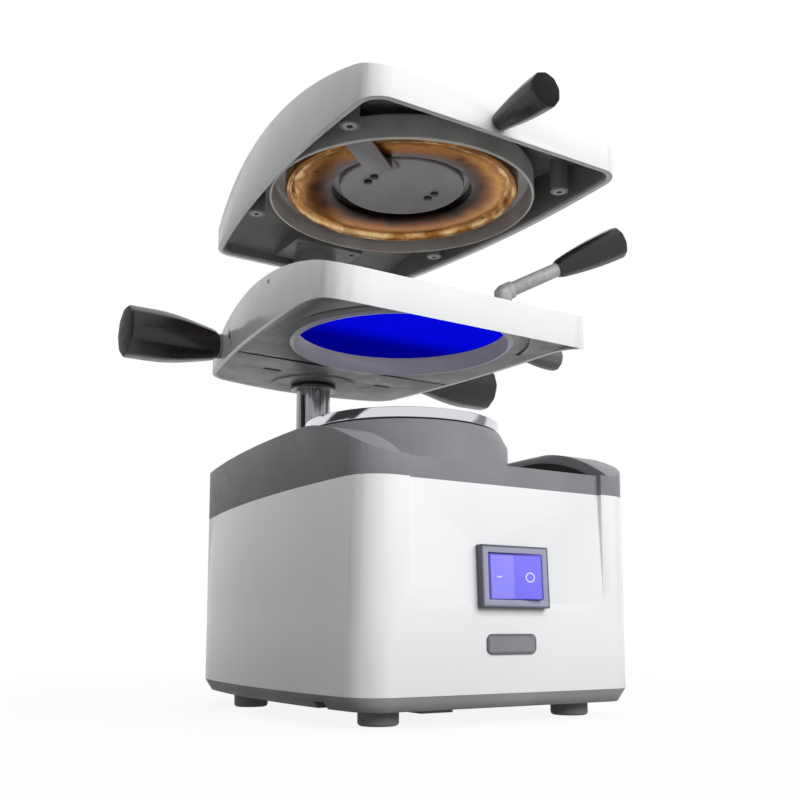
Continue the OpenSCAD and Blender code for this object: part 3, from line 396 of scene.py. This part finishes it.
materials = {
    "white": glossWhiteAbs(),
    "cap": sparkedGreyAbs("sparked_grey_abs", "#87888C", "#8F9093", 0.42),
    "tray": sparkedGreyAbs("tray_grey_abs", "#7C7D7F", "#868788", 0.5),
    # the first colour of the bezel and the badge is the painted shade on their front edges
    "bezel": edgedGreyAbs("bezel_grey_abs", "switch_bezel", 1.1, "#5C5C64", "#9A9BB2", "#A9AAC0"),
    "badge": edgedGreyAbs("badge_grey_abs", "badge_plate", 1.3, "#66676A", "#7E7F82", "#8E8F92"),
    "black": blackPhenolic("black_phenolic", "#1B1B1C", 0.24, 0.5),
    "blackEnd": blackPhenolic("black_phenolic_cut", "#171718", 0.5, 0.15),
    "blackSheet": blackSheetPaintedShade(),
    "foot": mouldedRubber("grey_rubber", "#959699", "#A3A4A7"),
    "seal": mouldedRubber("black_rubber", "#151515", "#202020"),
    "ring": turnedAluminium(),
    "chrome": hardChrome(),
    "zinc": plainMetal("zinc_steel", "#A9ACB0", "#D3D6D9", 0.3),
    "oxide": plainMetal("blackened_steel", "#2A2A2C", "#3C3C3E", 0.4),
    "bronze": plainMetal("sintered_bronze", "#7A5A34", "#8E6C40", 0.45),
    "rod": satinAluminium(),
    # the carriage underside's grey is painted shade: it stands in for the white carriage in shade
    "underside": enamelledCasting("grey_casting_painted_shade", "#818282", "#8F9090", 0.42),
    # the lilac tint of the window lining is painted light: it stands in for the blue sheet's glow on the
    # wall
    "windowRing": enamelledCasting("grey_enamel_painted_violet_light", "#CAC8E0", "#D8D6EA", 0.34),
    "liner": enamelledCasting("dark_grey_enamel", "#7E7E7C", "#8C8C8A", 0.45),
    "knob": enamelledCasting("grey_knob_enamel", "#5A5B5C", "#66676A", 0.4),
    "bowl": aluminisedSteel(),
    "sheet": blueFoil(),
    "sheetTop": blueGloss(),
    "rocker": violetLens(),
    "mark": printedInk(),
    "reflector": stainedBrassPaintedLight(),
    "disc": violetEnamel(),
}
print("materials made:", len(materials))


# shells copied from the frame, with their edges rounded


def showMesh(pieceName, work):
    mesh = bpy.data.meshes.new(pieceName)
    work.to_mesh(mesh)
    work.free()
    piece = bpy.data.objects.new(pieceName, mesh)
    bpy.context.scene.collection.objects.link(piece)
    return piece


def finishPiece(piece, materialName, body, nodes=()):
    piece.data.materials.clear()
    piece.data.materials.append(materials[materialName])
    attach(piece, body)
    if nodes:
        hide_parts(*nodes)


copied = {"merge": 0.002, "flat": 0.05, "cut": 0.001}  # mm, degrees, mm


def carryOver(nodeName, pieceName, heights=()):
    work = bmesh.new()
    work.from_mesh(frame["nodes"][nodeName].data)
    bmesh.ops.remove_doubles(work, verts=work.verts, dist=copied["merge"] * mm)
    bmesh.ops.dissolve_limit(
        work, angle_limit=math.radians(copied["flat"]), verts=work.verts, edges=work.edges,
        delimit={"NORMAL"},
    )
    for height in heights:  # loops that keep the shading of a slight fold close to it
        bmesh.ops.bisect_plane(
            work, geom=work.verts[:] + work.edges[:] + work.faces[:], dist=copied["cut"] * mm,
            plane_co=(0, 0, height * mm), plane_no=(0, 0, 1),
        )
    return showMesh(pieceName, work)


def roundEdges(piece, widthMm, segments=3, angleDeg=32):
    piece.data.shade_smooth()
    rounding = piece.modifiers.new("rounding", "BEVEL")
    rounding.width = widthMm * mm
    rounding.segments = segments
    rounding.limit_method = "ANGLE"
    rounding.angle_limit = math.radians(angleDeg)
    rounding.use_clamp_overlap = True
    rounding.harden_normals = True
    rounding.miter_outer = "MITER_ARC"


shells = {
    "housing": {"piece": "housing_shell", "material": "white", "slot": "white_shell", "round": 0.5,
                "loops": (51.0, 63.0)},
    "cap": {"piece": "cap_shell", "material": "cap", "slot": "grey_shell", "round": 0.6},
    # the shoulder linings' black is painted shade on the shoulders' inner walls
    "shoulder_liners": {"piece": "shoulder_linings", "material": "blackSheet", "slot": "black_plastic",
                        "round": 0.2},
    "bottom_tray": {"piece": "tray_pan", "material": "tray", "slot": "grey_shell", "round": 0.4},
    "feet": {"piece": "rubber_feet", "material": "foot", "slot": "black_rubber", "round": 0.5},
    "platform_ring": {"piece": "turned_ring", "material": "ring", "slot": "aluminium", "round": 0.35},
    "switch_bezel": {"piece": "bezel", "material": "bezel", "slot": "grey_shell", "round": 0.6},
    "switch_rocker": {"piece": "rocker_cap", "material": "rocker", "slot": "violet_rocker", "round": 0.6},
    "badge_plate": {"piece": "badge", "material": "badge", "slot": "grey_shell", "round": 0.25},
    "mains_inlet": {"piece": "inlet", "material": "black", "slot": "black_plastic", "round": 0.4},
    "carriage_frame": {"piece": "carriage_shell", "material": "white", "slot": "white_shell", "round": 0.6},
    # the underside plate's grey is painted shade under the white carriage
    "carriage_plate": {"piece": "carriage_underside", "material": "underside", "slot": "cast_grey",
                       "round": 0.3},
    # the window lining's lilac tint is painted light from the blue sheet above
    "window_ring": {"piece": "window_lining", "material": "windowRing", "slot": "ring_paint", "round": 0.3},
    "clamp_lid": {"piece": "clamp_cover", "material": "white", "slot": "white_shell", "round": 0.6},
    "head_shell": {"piece": "head_cover", "material": "white", "slot": "white_shell", "round": 0.6},
    # the head lining's grey is painted shade: it darkens the inside of the white head, which lies in shade
    "head_liner": {"piece": "head_lining", "material": "liner", "slot": "dark_liner", "round": 0.3},
    "heater_bar": {"piece": "disc_holder", "material": "disc", "slot": "dark_liner", "round": 0.3},
    "head_hub": {"piece": "column_hub", "material": "liner", "slot": "dark_liner", "round": 0.4},
    "shaft_collars": {"piece": "collars", "material": "liner", "slot": "dark_liner", "round": 0.5},
    "grip_ferrules": {"piece": "ferrules", "material": "liner", "slot": "dark_liner", "round": 0.3},
    "lever_hub": {"piece": "lever_base", "material": "rod", "slot": "aluminium", "round": 0.5},
}
for nodeName, look in shells.items():
    piece = carryOver(nodeName, look["piece"], look.get("loops", ()))
    finishPiece(piece, look["material"], bodyOf[nodeName], [nodeName])
    roundEdges(piece, look["round"])
print("shells rounded:", len(shells))


# turned pieces

onAxis = 0.001  # mm from the axis, where an outline ends so that its spin closes to one point


def turned(pieceName, profile, segments, closed=False):
    work = bmesh.new()
    verts = [work.verts.new((radius * mm, 0, height * mm)) for radius, height in profile]
    edges = [work.edges.new(pair) for pair in zip(verts, verts[1:])]
    if closed:
        edges.append(work.edges.new((verts[-1], verts[0])))
    bmesh.ops.spin(
        work, geom=verts + edges, cent=(0, 0, 0), axis=(0, 0, 1), dvec=(0, 0, 0),
        angle=2 * math.pi, steps=segments, use_merge=True, use_duplicate=False,
    )
    bmesh.ops.remove_doubles(work, verts=work.verts, dist=onAxis * mm)
    bmesh.ops.recalc_face_normals(work, faces=work.faces)
    return showMesh(pieceName, work)


def onFormAxis(piece, x=0.0, y=0.0):
    piece.data.transform(Matrix.Translation((x * mm, y * mm + formY, 0)))


def sharpen(piece, angleDeg=35):
    mesh = piece.data
    mesh.shade_smooth()
    work = bmesh.new()
    work.from_mesh(mesh)
    for edge in work.edges:
        edge.smooth = len(edge.link_faces) != 2 or edge.calc_face_angle() < math.radians(angleDeg)
    work.to_mesh(mesh)
    work.free()


def arcPoints(centreR, centreZ, radius, fromDeg, toDeg, count):
    angles = [math.radians(fromDeg + (toDeg - fromDeg) * i / count) for i in range(count + 1)]
    return [(centreR + radius * math.cos(a), centreZ + radius * math.sin(a)) for a in angles]


bowlLow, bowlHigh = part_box("heater_bowl")
bowl = {
    "radius": (bowlHigh[0] - bowlLow[0]) / 2 / mm, "rim": bowlLow[2] / mm, "depth": 14.5, "wall": 1.4,
    "rimRoll": 1.1, "lip": 0.4, "shoulder": 3.0, "floorRound": 4.0, "hole": 4.0,
    "rollSteps": 5, "cornerSteps": 6, "segments": 128,
}
bowlTop = bowl["rim"] + bowl["depth"]


def makeBowl():
    outer, rim, roll = bowl["radius"], bowl["rim"], bowl["rimRoll"]
    shoulder, corner = bowl["shoulder"], bowl["floorRound"]
    inner, floor, steps = outer - bowl["wall"], bowlTop - bowl["wall"], bowl["cornerSteps"]
    profile = arcPoints(outer - roll, rim + roll, roll, -90, 0, bowl["rollSteps"])
    profile += arcPoints(outer - shoulder, bowlTop - shoulder, shoulder, 0, 90, steps)
    profile += [(bowl["hole"], bowlTop), (bowl["hole"], floor)]
    profile += arcPoints(inner - corner, floor - corner, corner, 90, 0, steps)
    profile += [(inner, rim + bowl["lip"])]
    piece = turned("heater_dish", profile, bowl["segments"], closed=True)
    onFormAxis(piece)
    sharpen(piece)
    finishPiece(piece, "bowl", "head", ["heater_bowl"])


reflector = {
    "inner": 40.2, "outerGap": 0.1, "underBowl": 1.6, "wall": 0.9, "segments": 160, "sharp": 50,
    "lift": 3.2, "innerEdge": 2.4, "rollDeep": 1.9, "rollRise": 1.4, "rollTurn": 12,  # the broad roll
    "bead": 1.9, "beadLift": 0.3, "beadArc": (215, 355), "beadSteps": 9, "outerEdge": 5.0,
}


def makeReflector():
    reflectorLow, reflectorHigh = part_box("heater_reflector")
    low, top = reflectorLow[2] / mm, bowlTop - reflector["underBowl"]
    inner, bead = reflector["inner"], reflector["bead"]
    outer = (reflectorHigh[0] - reflectorLow[0]) / 2 / mm - reflector["outerGap"]
    half = (outer - 2 * bead - inner) / 2  # half the width of the broad roll
    lift, turn = low + reflector["lift"], reflector["rollTurn"]
    profile = [(inner, top), (inner, lift + reflector["innerEdge"])]
    for angle in range(turn, 180, turn):
        a = math.radians(angle)
        drop = reflector["rollDeep"] * math.sin(a)
        profile.append((inner + half - half * math.cos(a), lift - drop + reflector["rollRise"]))
    beadZ = low + bead + reflector["beadLift"]
    profile += arcPoints(outer - bead, beadZ, bead, *reflector["beadArc"], reflector["beadSteps"])
    profile += [(outer, low + reflector["outerEdge"]), (outer, top)]
    piece = turned("gold_reflector", profile, reflector["segments"])
    onFormAxis(piece)
    sharpen(piece, reflector["sharp"])
    wall = piece.modifiers.new("sheet", "SOLIDIFY")
    wall.thickness = reflector["wall"] * mm
    wall.offset = -1
    finishPiece(piece, "reflector", "head", ["heater_reflector"])


disc = {
    "flat": 3.0, "step": 2.2, "stepDeep": 0.35,  # mm in from the rim where the step starts and ends
    "roll": 0.9, "rollLift": 0.45, "rollArc": (-110, 0), "rollSteps": 5,
    "thick": 2.0, "neck": 7.0, "neckTop": 3.5, "segments": 96,
}


def makeDisc():
    low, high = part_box("heater_disc")
    radius, z = (high[0] - low[0]) / 2 / mm, low[2] / mm
    profile = [(onAxis, z), (radius - disc["flat"], z), (radius - disc["step"], z - disc["stepDeep"])]
    rollZ = z + disc["rollLift"]
    profile += arcPoints(radius - disc["roll"], rollZ, disc["roll"], *disc["rollArc"], disc["rollSteps"])
    profile += [(radius, z + disc["thick"]), (disc["neck"], z + disc["thick"])]
    profile += [(disc["neck"], z + disc["neckTop"])]
    piece = turned("centre_disc", profile, disc["segments"])
    onFormAxis(piece)
    sharpen(piece)
    finishPiece(piece, "disc", "head", ["heater_disc"])


def makeSheet():
    low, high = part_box("sheet")
    radius, edge = (high[0] - low[0]) / 2 / mm, sheet["edge"]
    under, top = low[2] / mm, high[2] / mm
    profile = [(onAxis, under), (radius - edge, under), (radius, under + edge), (radius, top - edge)]
    profile += [(radius - edge, top), (onAxis, top)]
    piece = turned("forming_sheet", profile, sheet["segments"])
    onFormAxis(piece)
    sharpen(piece)
    finishPiece(piece, "sheet", bodyOf["sheet"], ["sheet"])
    piece.data.materials.append(materials["sheetTop"])
    for face in piece.data.polygons:
        face.material_index = 1 if face.normal.z > 0.5 else 0  # the faces that look up
    piece.visible_diffuse = False  # its painted glow doesn't spread to the white walls
    piece.visible_glossy = False


inserts = {
    "places": [(68, -59), (64, 60)], "bossLift": 3.0, "inner": 1.7, "outer": 3.5, "bevel": 0.3,
    "drop": 0.4, "sink": 0.2, "segments": 32,
}


def makeInserts():
    # threaded inserts in the mouths of the head's four screw bosses
    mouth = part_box("head_shell")[0][2] / mm + inserts["bossLift"]
    low, high = mouth - inserts["drop"], mouth + inserts["sink"]
    inner, outer, bevel = inserts["inner"], inserts["outer"], inserts["bevel"]
    profile = [(inner, low), (outer - bevel, low), (outer, low + bevel), (outer, high), (inner, high)]
    spots = [(side * x, y) for x, y in inserts["places"] for side in (-1, 1)]
    for number, (x, y) in enumerate(spots, 1):
        piece = turned("boss_insert_" + str(number), profile, inserts["segments"], closed=True)
        onFormAxis(piece, x, y)
        sharpen(piece)
        finishPiece(piece, "rod", "head")


makeBowl()
makeReflector()
makeDisc()
makeInserts()
makeSheet()
print("heater and sheet turned")


# marks of the rocker and screws in the carriage's sides


def surfaceAt(nodeName, start, way):
    mesh = frame["nodes"][nodeName].data
    tree = BVHTree.FromPolygons([v.co for v in mesh.vertices], [tuple(p.vertices) for p in mesh.polygons])
    spot, normal = tree.ray_cast(Vector(start), Vector(way))[:2]
    return spot, normal


def seatOn(piece, spot, normal, body, materialName):
    turn = Vector((0, 0, 1)).rotation_difference(normal).to_matrix().to_4x4()
    piece.data.transform(Matrix.Translation(spot) @ turn)
    finishPiece(piece, materialName, body)


marks = {
    "ahead": -1.0, "z": 67.4, "ringX": 6.2, "dashX": -10.4,  # the ray starts a metre ahead; the rest in mm
    "ring": 2.1, "stroke": 0.55, "dash": 2.8, "raise": 0.08, "sink": 0.1,
    "roundShare": 0.45, "roundSteps": 4, "segments": 48,
}


def makeMarks():
    # the ring and the dash on the two halves of the rocker
    half, raised, sink = marks["stroke"] / 2, marks["raise"], marks["sink"]
    inner, outer = marks["ring"] - half, marks["ring"] + half
    profile = [(inner, -sink), (outer, -sink), (outer, raised), (inner, raised)]
    ring = turned("off_mark", profile, marks["segments"], closed=True)
    work = bmesh.new()
    bmesh.ops.create_cube(work, size=1)
    size = Vector((marks["dash"], marks["stroke"], raised + sink)) * mm
    bmesh.ops.scale(work, vec=size, verts=work.verts)
    bmesh.ops.translate(work, vec=(0, 0, (raised - sink) / 2 * mm), verts=work.verts)
    corners = [e for e in work.edges if abs(e.verts[0].co.z - e.verts[1].co.z) > size.z / 2]
    bmesh.ops.bevel(
        work, geom=corners, offset=marks["roundShare"] * marks["stroke"] * mm, segments=marks["roundSteps"],
        profile=0.5, affect="EDGES", material=-1,
    )
    dash = showMesh("on_mark", work)
    for piece, x in ((ring, marks["ringX"]), (dash, marks["dashX"])):
        spot, normal = surfaceAt("switch_rocker", (x * mm, marks["ahead"], marks["z"] * mm), (0, 1, 0))
        seatOn(piece, spot, normal, "rocker", "mark")


sideScrews = {
    "beside": 0.2, "y": 1.7, "z": 226.0,  # the ray starts 0.2 m beside; the rest in mm
    "radius": 1.2, "edge": 0.15, "proud": 0.15, "length": 0.6, "hex": 0.6, "hexEdge": 0.1, "hexDeep": 0.4,
    "segments": 32,
}


def makeSideScrews():
    radius, edge, proud = sideScrews["radius"], sideScrews["edge"], sideScrews["proud"]
    hexR, hexDeep, length = sideScrews["hex"], sideScrews["hexDeep"], sideScrews["length"]
    profile = [(onAxis, -hexDeep), (hexR, -hexDeep), (hexR, proud - sideScrews["hexEdge"])]
    profile += [(radius - edge, proud), (radius, proud - edge), (radius, -length), (onAxis, -length)]
    for side, name in ((-1, "left"), (1, "right")):
        piece = turned("side_screw_" + name, profile, sideScrews["segments"])
        start = (side * sideScrews["beside"], sideScrews["y"] * mm, sideScrews["z"] * mm)
        spot, normal = surfaceAt("carriage_frame", start, (-side, 0, 0))
        seatOn(piece, spot, normal, "carriage", "oxide")


makeMarks()
makeSideScrews()
print("marks and screws seated")


# grips

grips = {
    "sides": 10, "ridgeShare": 0.11, "ridgeSteps": 3, "rings": 10, "sharp": 24,
    "foot": 3.5, "footShare": 0.8, "footRise": 0.4, "footEdge": 0.92,  # the foot's length, radii and bevel
    "domeShare": 0.2, "domeRings": 5, "rimShare": 0.1, "rimTurn": 75, "rimSteps": 4,
    "endFace": 0.9,  # faces that look this straight out of the end are duller
}


def gripRings(size):
    # heights and radii of a grip's loops, from its foot over the swelling flank to the rim and the dome
    length, neckR, endR = size["length"], size["neck"], size["end"]
    dome, rim, foot = endR * grips["domeShare"], endR * grips["rimShare"], grips["foot"]
    rings = [(foot * grips["footRise"], neckR * grips["footEdge"]), (foot, neckR)]
    for i in range(1, grips["rings"] + 1):
        along = i / grips["rings"]
        swell = math.sin(math.radians(90 * min(1.0, along / size["full"]))) ** size["belly"]
        rings.append((foot + (length - dome - foot) * along, neckR + (endR - neckR) * swell))
    edge = arcPoints(0, 0, rim, 0, grips["rimTurn"], grips["rimSteps"])[1:]
    rings += [(length - dome + rise, endR - rim + out) for out, rise in edge]
    for i in range(1, grips["domeRings"]):
        left = 1 - i / grips["domeRings"]
        rings.append((length - (dome - rim) * left**2, (endR - rim) * left))
    return rings


def makeGrip(pieceName, start, direction, size, body, nodes, materialName="black"):
    way = Vector(direction).normalized()
    lastHeight, lastR = 0.0, size["neck"] * grips["footShare"]
    work = bmesh.new()
    bmesh.ops.create_circle(work, cap_ends=True, segments=grips["sides"], radius=lastR * mm)
    bmesh.ops.bevel(  # rounds the ridges between the flats, in the outline that every loop repeats
        work, geom=work.verts[:], offset=grips["ridgeShare"] * lastR * mm, offset_type="OFFSET",
        segments=grips["ridgeSteps"], profile=0.5, affect="VERTICES", material=-1, clamp_overlap=True,
    )
    edgeLoop = [e for e in work.edges if e.is_boundary]
    for height, radius in gripRings(size):
        grown = bmesh.ops.extrude_edge_only(work, edges=edgeLoop)
        verts = [v for v in grown["geom"] if isinstance(v, bmesh.types.BMVert)]
        edgeLoop = [e for e in grown["geom"] if isinstance(e, bmesh.types.BMEdge)]
        bmesh.ops.scale(work, vec=(radius / lastR, radius / lastR, 1), verts=verts)
        bmesh.ops.translate(work, vec=(0, 0, (height - lastHeight) * mm), verts=verts)
        lastHeight, lastR = height, radius
    bmesh.ops.contextual_create(work, geom=edgeLoop)
    bmesh.ops.recalc_face_normals(work, faces=work.faces)
    turn = Vector((0, 0, 1)).rotation_difference(way).to_matrix().to_4x4()
    bmesh.ops.transform(work, matrix=Matrix.Translation(start) @ turn, verts=work.verts)
    piece = showMesh(pieceName, work)
    sharpen(piece, grips["sharp"])
    finishPiece(piece, materialName, body, nodes)
    if materialName == "black":
        piece.data.materials.append(materials["blackEnd"])
        for face in piece.data.polygons:
            face.material_index = 1 if face.normal.dot(way) > grips["endFace"] else 0


headLow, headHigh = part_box("head_grip")
headGrip = {"neck": 5.5, "end": 8.75, "length": (headHigh[1] - headLow[1]) / mm, "full": 1.0, "belly": 1.0}
headMid = middle("head_grip")
makeGrip(
    "head_handle", Vector((headMid.x, headHigh[1], headMid.z)), (0, -1, 0), headGrip, "head",
    ["head_grip"],
)

sideGrip = {"neck": 10.0, "end": 15.5, "length": 57.0, "full": 0.72, "belly": 1.1}
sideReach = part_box("side_grips")[1][0] - sideGrip["length"] * mm
sideMid = middle("side_grips")
for side, name in ((-1, "left"), (1, "right")):
    makeGrip(
        "side_handle_" + name, Vector((side * sideReach, sideMid.y, sideMid.z)), (side, 0, 0), sideGrip,
        "carriage", ["side_grips"],
    )

knobGrip = {"neck": 5.5, "end": 7.5, "length": 25.0, "full": 0.9, "belly": 1.0}
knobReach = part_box("lock_knob")[1][0] - knobGrip["length"] * mm
knobMid = middle("lock_knob")
makeGrip(
    "lock_knob_cap", Vector((knobReach, knobMid.y, knobMid.z)), (1, 0, 0), knobGrip, "knob",
    ["lock_knob"], "knob",
)

lever = {
    "yaw": 20, "rise": 27, "hubLift": 5.6, "rod": 34.0,
    "length": 41.0, "neck": 5.5, "end": 8.75, "full": 1.0, "belly": 0.9,
}
leverPivot = Vector(joints["lever_turn"]["pos_m"]) + Vector((0, 0, lever["hubLift"] * mm))
yaw, rise = math.radians(lever["yaw"]), math.radians(lever["rise"])
leverWay = Vector((math.cos(yaw) * math.cos(rise), -math.sin(yaw) * math.cos(rise), math.sin(rise)))
makeGrip(
    "lever_handle", leverPivot + leverWay * lever["rod"] * mm, leverWay, lever, "lever",
    ["lever_grip"],
)
print("grips shaped")


# frame nodes that keep their mesh

kept = {
    "foot_screws": "zinc", "platform_gasket": "seal", "platform_plate": "ring", "switch_body": "black",
    "inlet_pins": "zinc", "motor": "zinc", "motor_shaft": "zinc", "fan_housing": "tray",
    "fan_wheel": "zinc", "suction_duct": "tray", "motor_mounts": "seal", "column_socket": "zinc",
    "column": "chrome", "column_bushes": "black", "hinge_pins": "oxide",
    "grip_studs": "oxide", "lever_rod": "rod", "knob_screw": "zinc", "heater_coil": "zinc",
    "disc_screws": "oxide", "hub_bush": "bronze", "head_grip_stud": "zinc",
}
keptEdges = {"round": 0.15, "segments": 2, "angle": 35}
for nodeName, materialName in kept.items():
    node = frame["nodes"][nodeName]
    node.data.materials.clear()
    node.data.materials.append(materials[materialName])
    node.data.shade_smooth()
    weld = node.modifiers.new("weld", "WELD")
    weld.merge_threshold = copied["merge"] * mm
    edges = node.modifiers.new("rounding", "BEVEL")
    edges.width = keptEdges["round"] * mm
    edges.segments = keptEdges["segments"]
    edges.limit_method = "ANGLE"
    edges.angle_limit = math.radians(keptEdges["angle"])
    edges.harden_normals = True
print("frame nodes dressed:", len(kept))


# floor, light and camera

studio = {
    "floor": 6.0, "white": "#F5F5F5", "bounce": "#7C7C7C", "world": 0.3,
    "glowNear": 0.9, "near": 0.2, "far": 0.65,  # the floor's glow under the part, fading to full by far
    # level of the walls that gloss shows, by direction in degrees from +X: two black flags stand in them
    "walls": [(-180, 0.05), (-171, 0.05), (-168, 1.0), (-27, 1.0), (-25, 0.3), (-5, 0.3), (-3, 1.0),
              (142, 1.0), (147, 0.05), (180, 0.05)],
}


def seenDirectly(tree):
    path = addNode(tree, "LightPath")
    return path.outputs["Is Camera Ray"], path.outputs["Is Glossy Ray"], path.outputs["Is Transmission Ray"]


def makeFloor():
    work = bmesh.new()
    bmesh.ops.create_grid(work, x_segments=1, y_segments=1, size=studio["floor"] / 2)
    floor = showMesh("floor", work)
    material, tree, shader = startMaterial("white_backdrop", studio["white"], 0.9, specular=0.0)
    byCamera, byGloss, byGlass = seenDirectly(tree)
    colour = addNode(
        tree, "Mix", colourMix, Factor=byCamera,
        i6=linearColour(studio["bounce"]), i7=linearColour(studio["white"]),
    )
    tree.links.new(colour.outputs[2], shader.inputs["Base Color"])
    seen = addNode(tree, "Math", {"operation": "MAXIMUM"}, i0=byCamera, i1=byGloss).outputs[0]
    seen = addNode(tree, "Math", {"operation": "MAXIMUM"}, i0=seen, i1=byGlass).outputs[0]
    away = addNode(tree, "VectorMath", {"operation": "LENGTH"}, i0=objectPoint(tree)).outputs["Value"]
    glow = addNode(
        tree, "MapRange", Value=away, i1=studio["near"], i2=studio["far"], i3=studio["glowNear"], i4=1.0,
    ).outputs["Result"]
    share = addNode(tree, "Math", {"operation": "MULTIPLY"}, i0=seen, i1=glow).outputs[0]
    white = addNode(tree, "Emission", Color=(1, 1, 1, 1), Strength=1.0)
    mix = addNode(tree, "MixShader", i0=share, i1=shader.outputs["BSDF"], i2=white.outputs["Emission"])
    tree.links.new(mix.outputs[0], tree.nodes["Material Output"].inputs["Surface"])
    floor.data.materials.append(material)


def makeWorld():
    world = bpy.data.worlds.new("studio")
    world.use_nodes = True
    tree = world.node_tree
    byCamera, byGloss, byGlass = seenDirectly(tree)
    way = addNode(tree, "SeparateXYZ", Vector=addNode(tree, "TexCoord").outputs["Generated"]).outputs
    angle = addNode(tree, "Math", {"operation": "ARCTAN2"}, i0=way["Y"], i1=way["X"]).outputs[0]
    turnShare = addNode(
        tree, "MapRange", Value=angle, i1=-math.pi, i2=math.pi, i3=0.0, i4=1.0,
    ).outputs["Result"]
    walls = addNode(tree, "ValToRGB", Fac=turnShare)
    stops = walls.color_ramp.elements
    stops[0].color = [studio["walls"][0][1]] * 3 + [1]
    stops[1].color = [studio["walls"][-1][1]] * 3 + [1]
    for degrees, level in studio["walls"][1:-1]:
        stops.new((degrees + 180) / 360).color = [level] * 3 + [1]
    direct = addNode(tree, "Math", {"operation": "MAXIMUM"}, i0=byCamera, i1=byGlass).outputs[0]
    plain = addNode(
        tree, "MapRange", Value=direct, i1=0.0, i2=1.0, i3=studio["world"], i4=1.0,
    ).outputs["Result"]
    mixed = addNode(tree, "Mix", colourMix, Factor=byGloss, i6=plain, i7=walls.outputs["Color"])
    tree.links.new(mixed.outputs[2], tree.nodes["Background"].inputs["Color"])
    bpy.context.scene.world = world


lamps = {
    "key": {"place": (0.3, -1.9, 1.1), "target": (0, 0, 0.15), "size": (2.0, 1.4), "power": 43},
    "top": {"place": (0.1, 0.2, 1.9), "target": (0, 0, 0.1), "size": (1.6, 1.6), "power": 8},
    "rear": {"place": (0.7, 2.0, 0.9), "target": (0, 0, 0.15), "size": (1.6, 1.2), "power": 18},
}


def addLamp(name, place, target, size, power):
    data = bpy.data.lights.new(name, "AREA")
    data.shape = "RECTANGLE"
    data.size = size[0]
    data.size_y = size[1]
    data.energy = power
    lamp = bpy.data.objects.new(name, data)
    lamp.location = place
    lamp.rotation_euler = (Vector(target) - Vector(place)).to_track_quat("-Z", "Y").to_euler()
    lamp.visible_glossy = False  # gloss shows the white walls, not the lamps
    bpy.context.scene.collection.objects.link(lamp)


camera = {
    "place": (-294.96, -461.19, 42.17),  # mm from the foot of the forming axis
    "heading": 32.5, "rise": 6.89, "lens": 44.61, "sensor": 36, "shiftY": 0.14, "clip": 0.01,
}


def makeCamera():
    data = bpy.data.cameras.new("camera")
    data.lens = camera["lens"]
    data.sensor_width = camera["sensor"]
    data.shift_y = camera["shiftY"]
    data.clip_start = camera["clip"]
    eye = bpy.data.objects.new("camera", data)
    x, y, z = camera["place"]
    eye.location = (x * mm, y * mm + formY, z * mm)
    eye.rotation_euler = (math.radians(90 + camera["rise"]), 0, math.radians(-camera["heading"]))
    bpy.context.scene.collection.objects.link(eye)
    bpy.context.scene.camera = eye


makeFloor()
makeWorld()
for name, lamp in lamps.items():
    addLamp(name, **lamp)
makeCamera()
bpy.context.scene.view_settings.view_transform = "Standard"
print("studio lit")
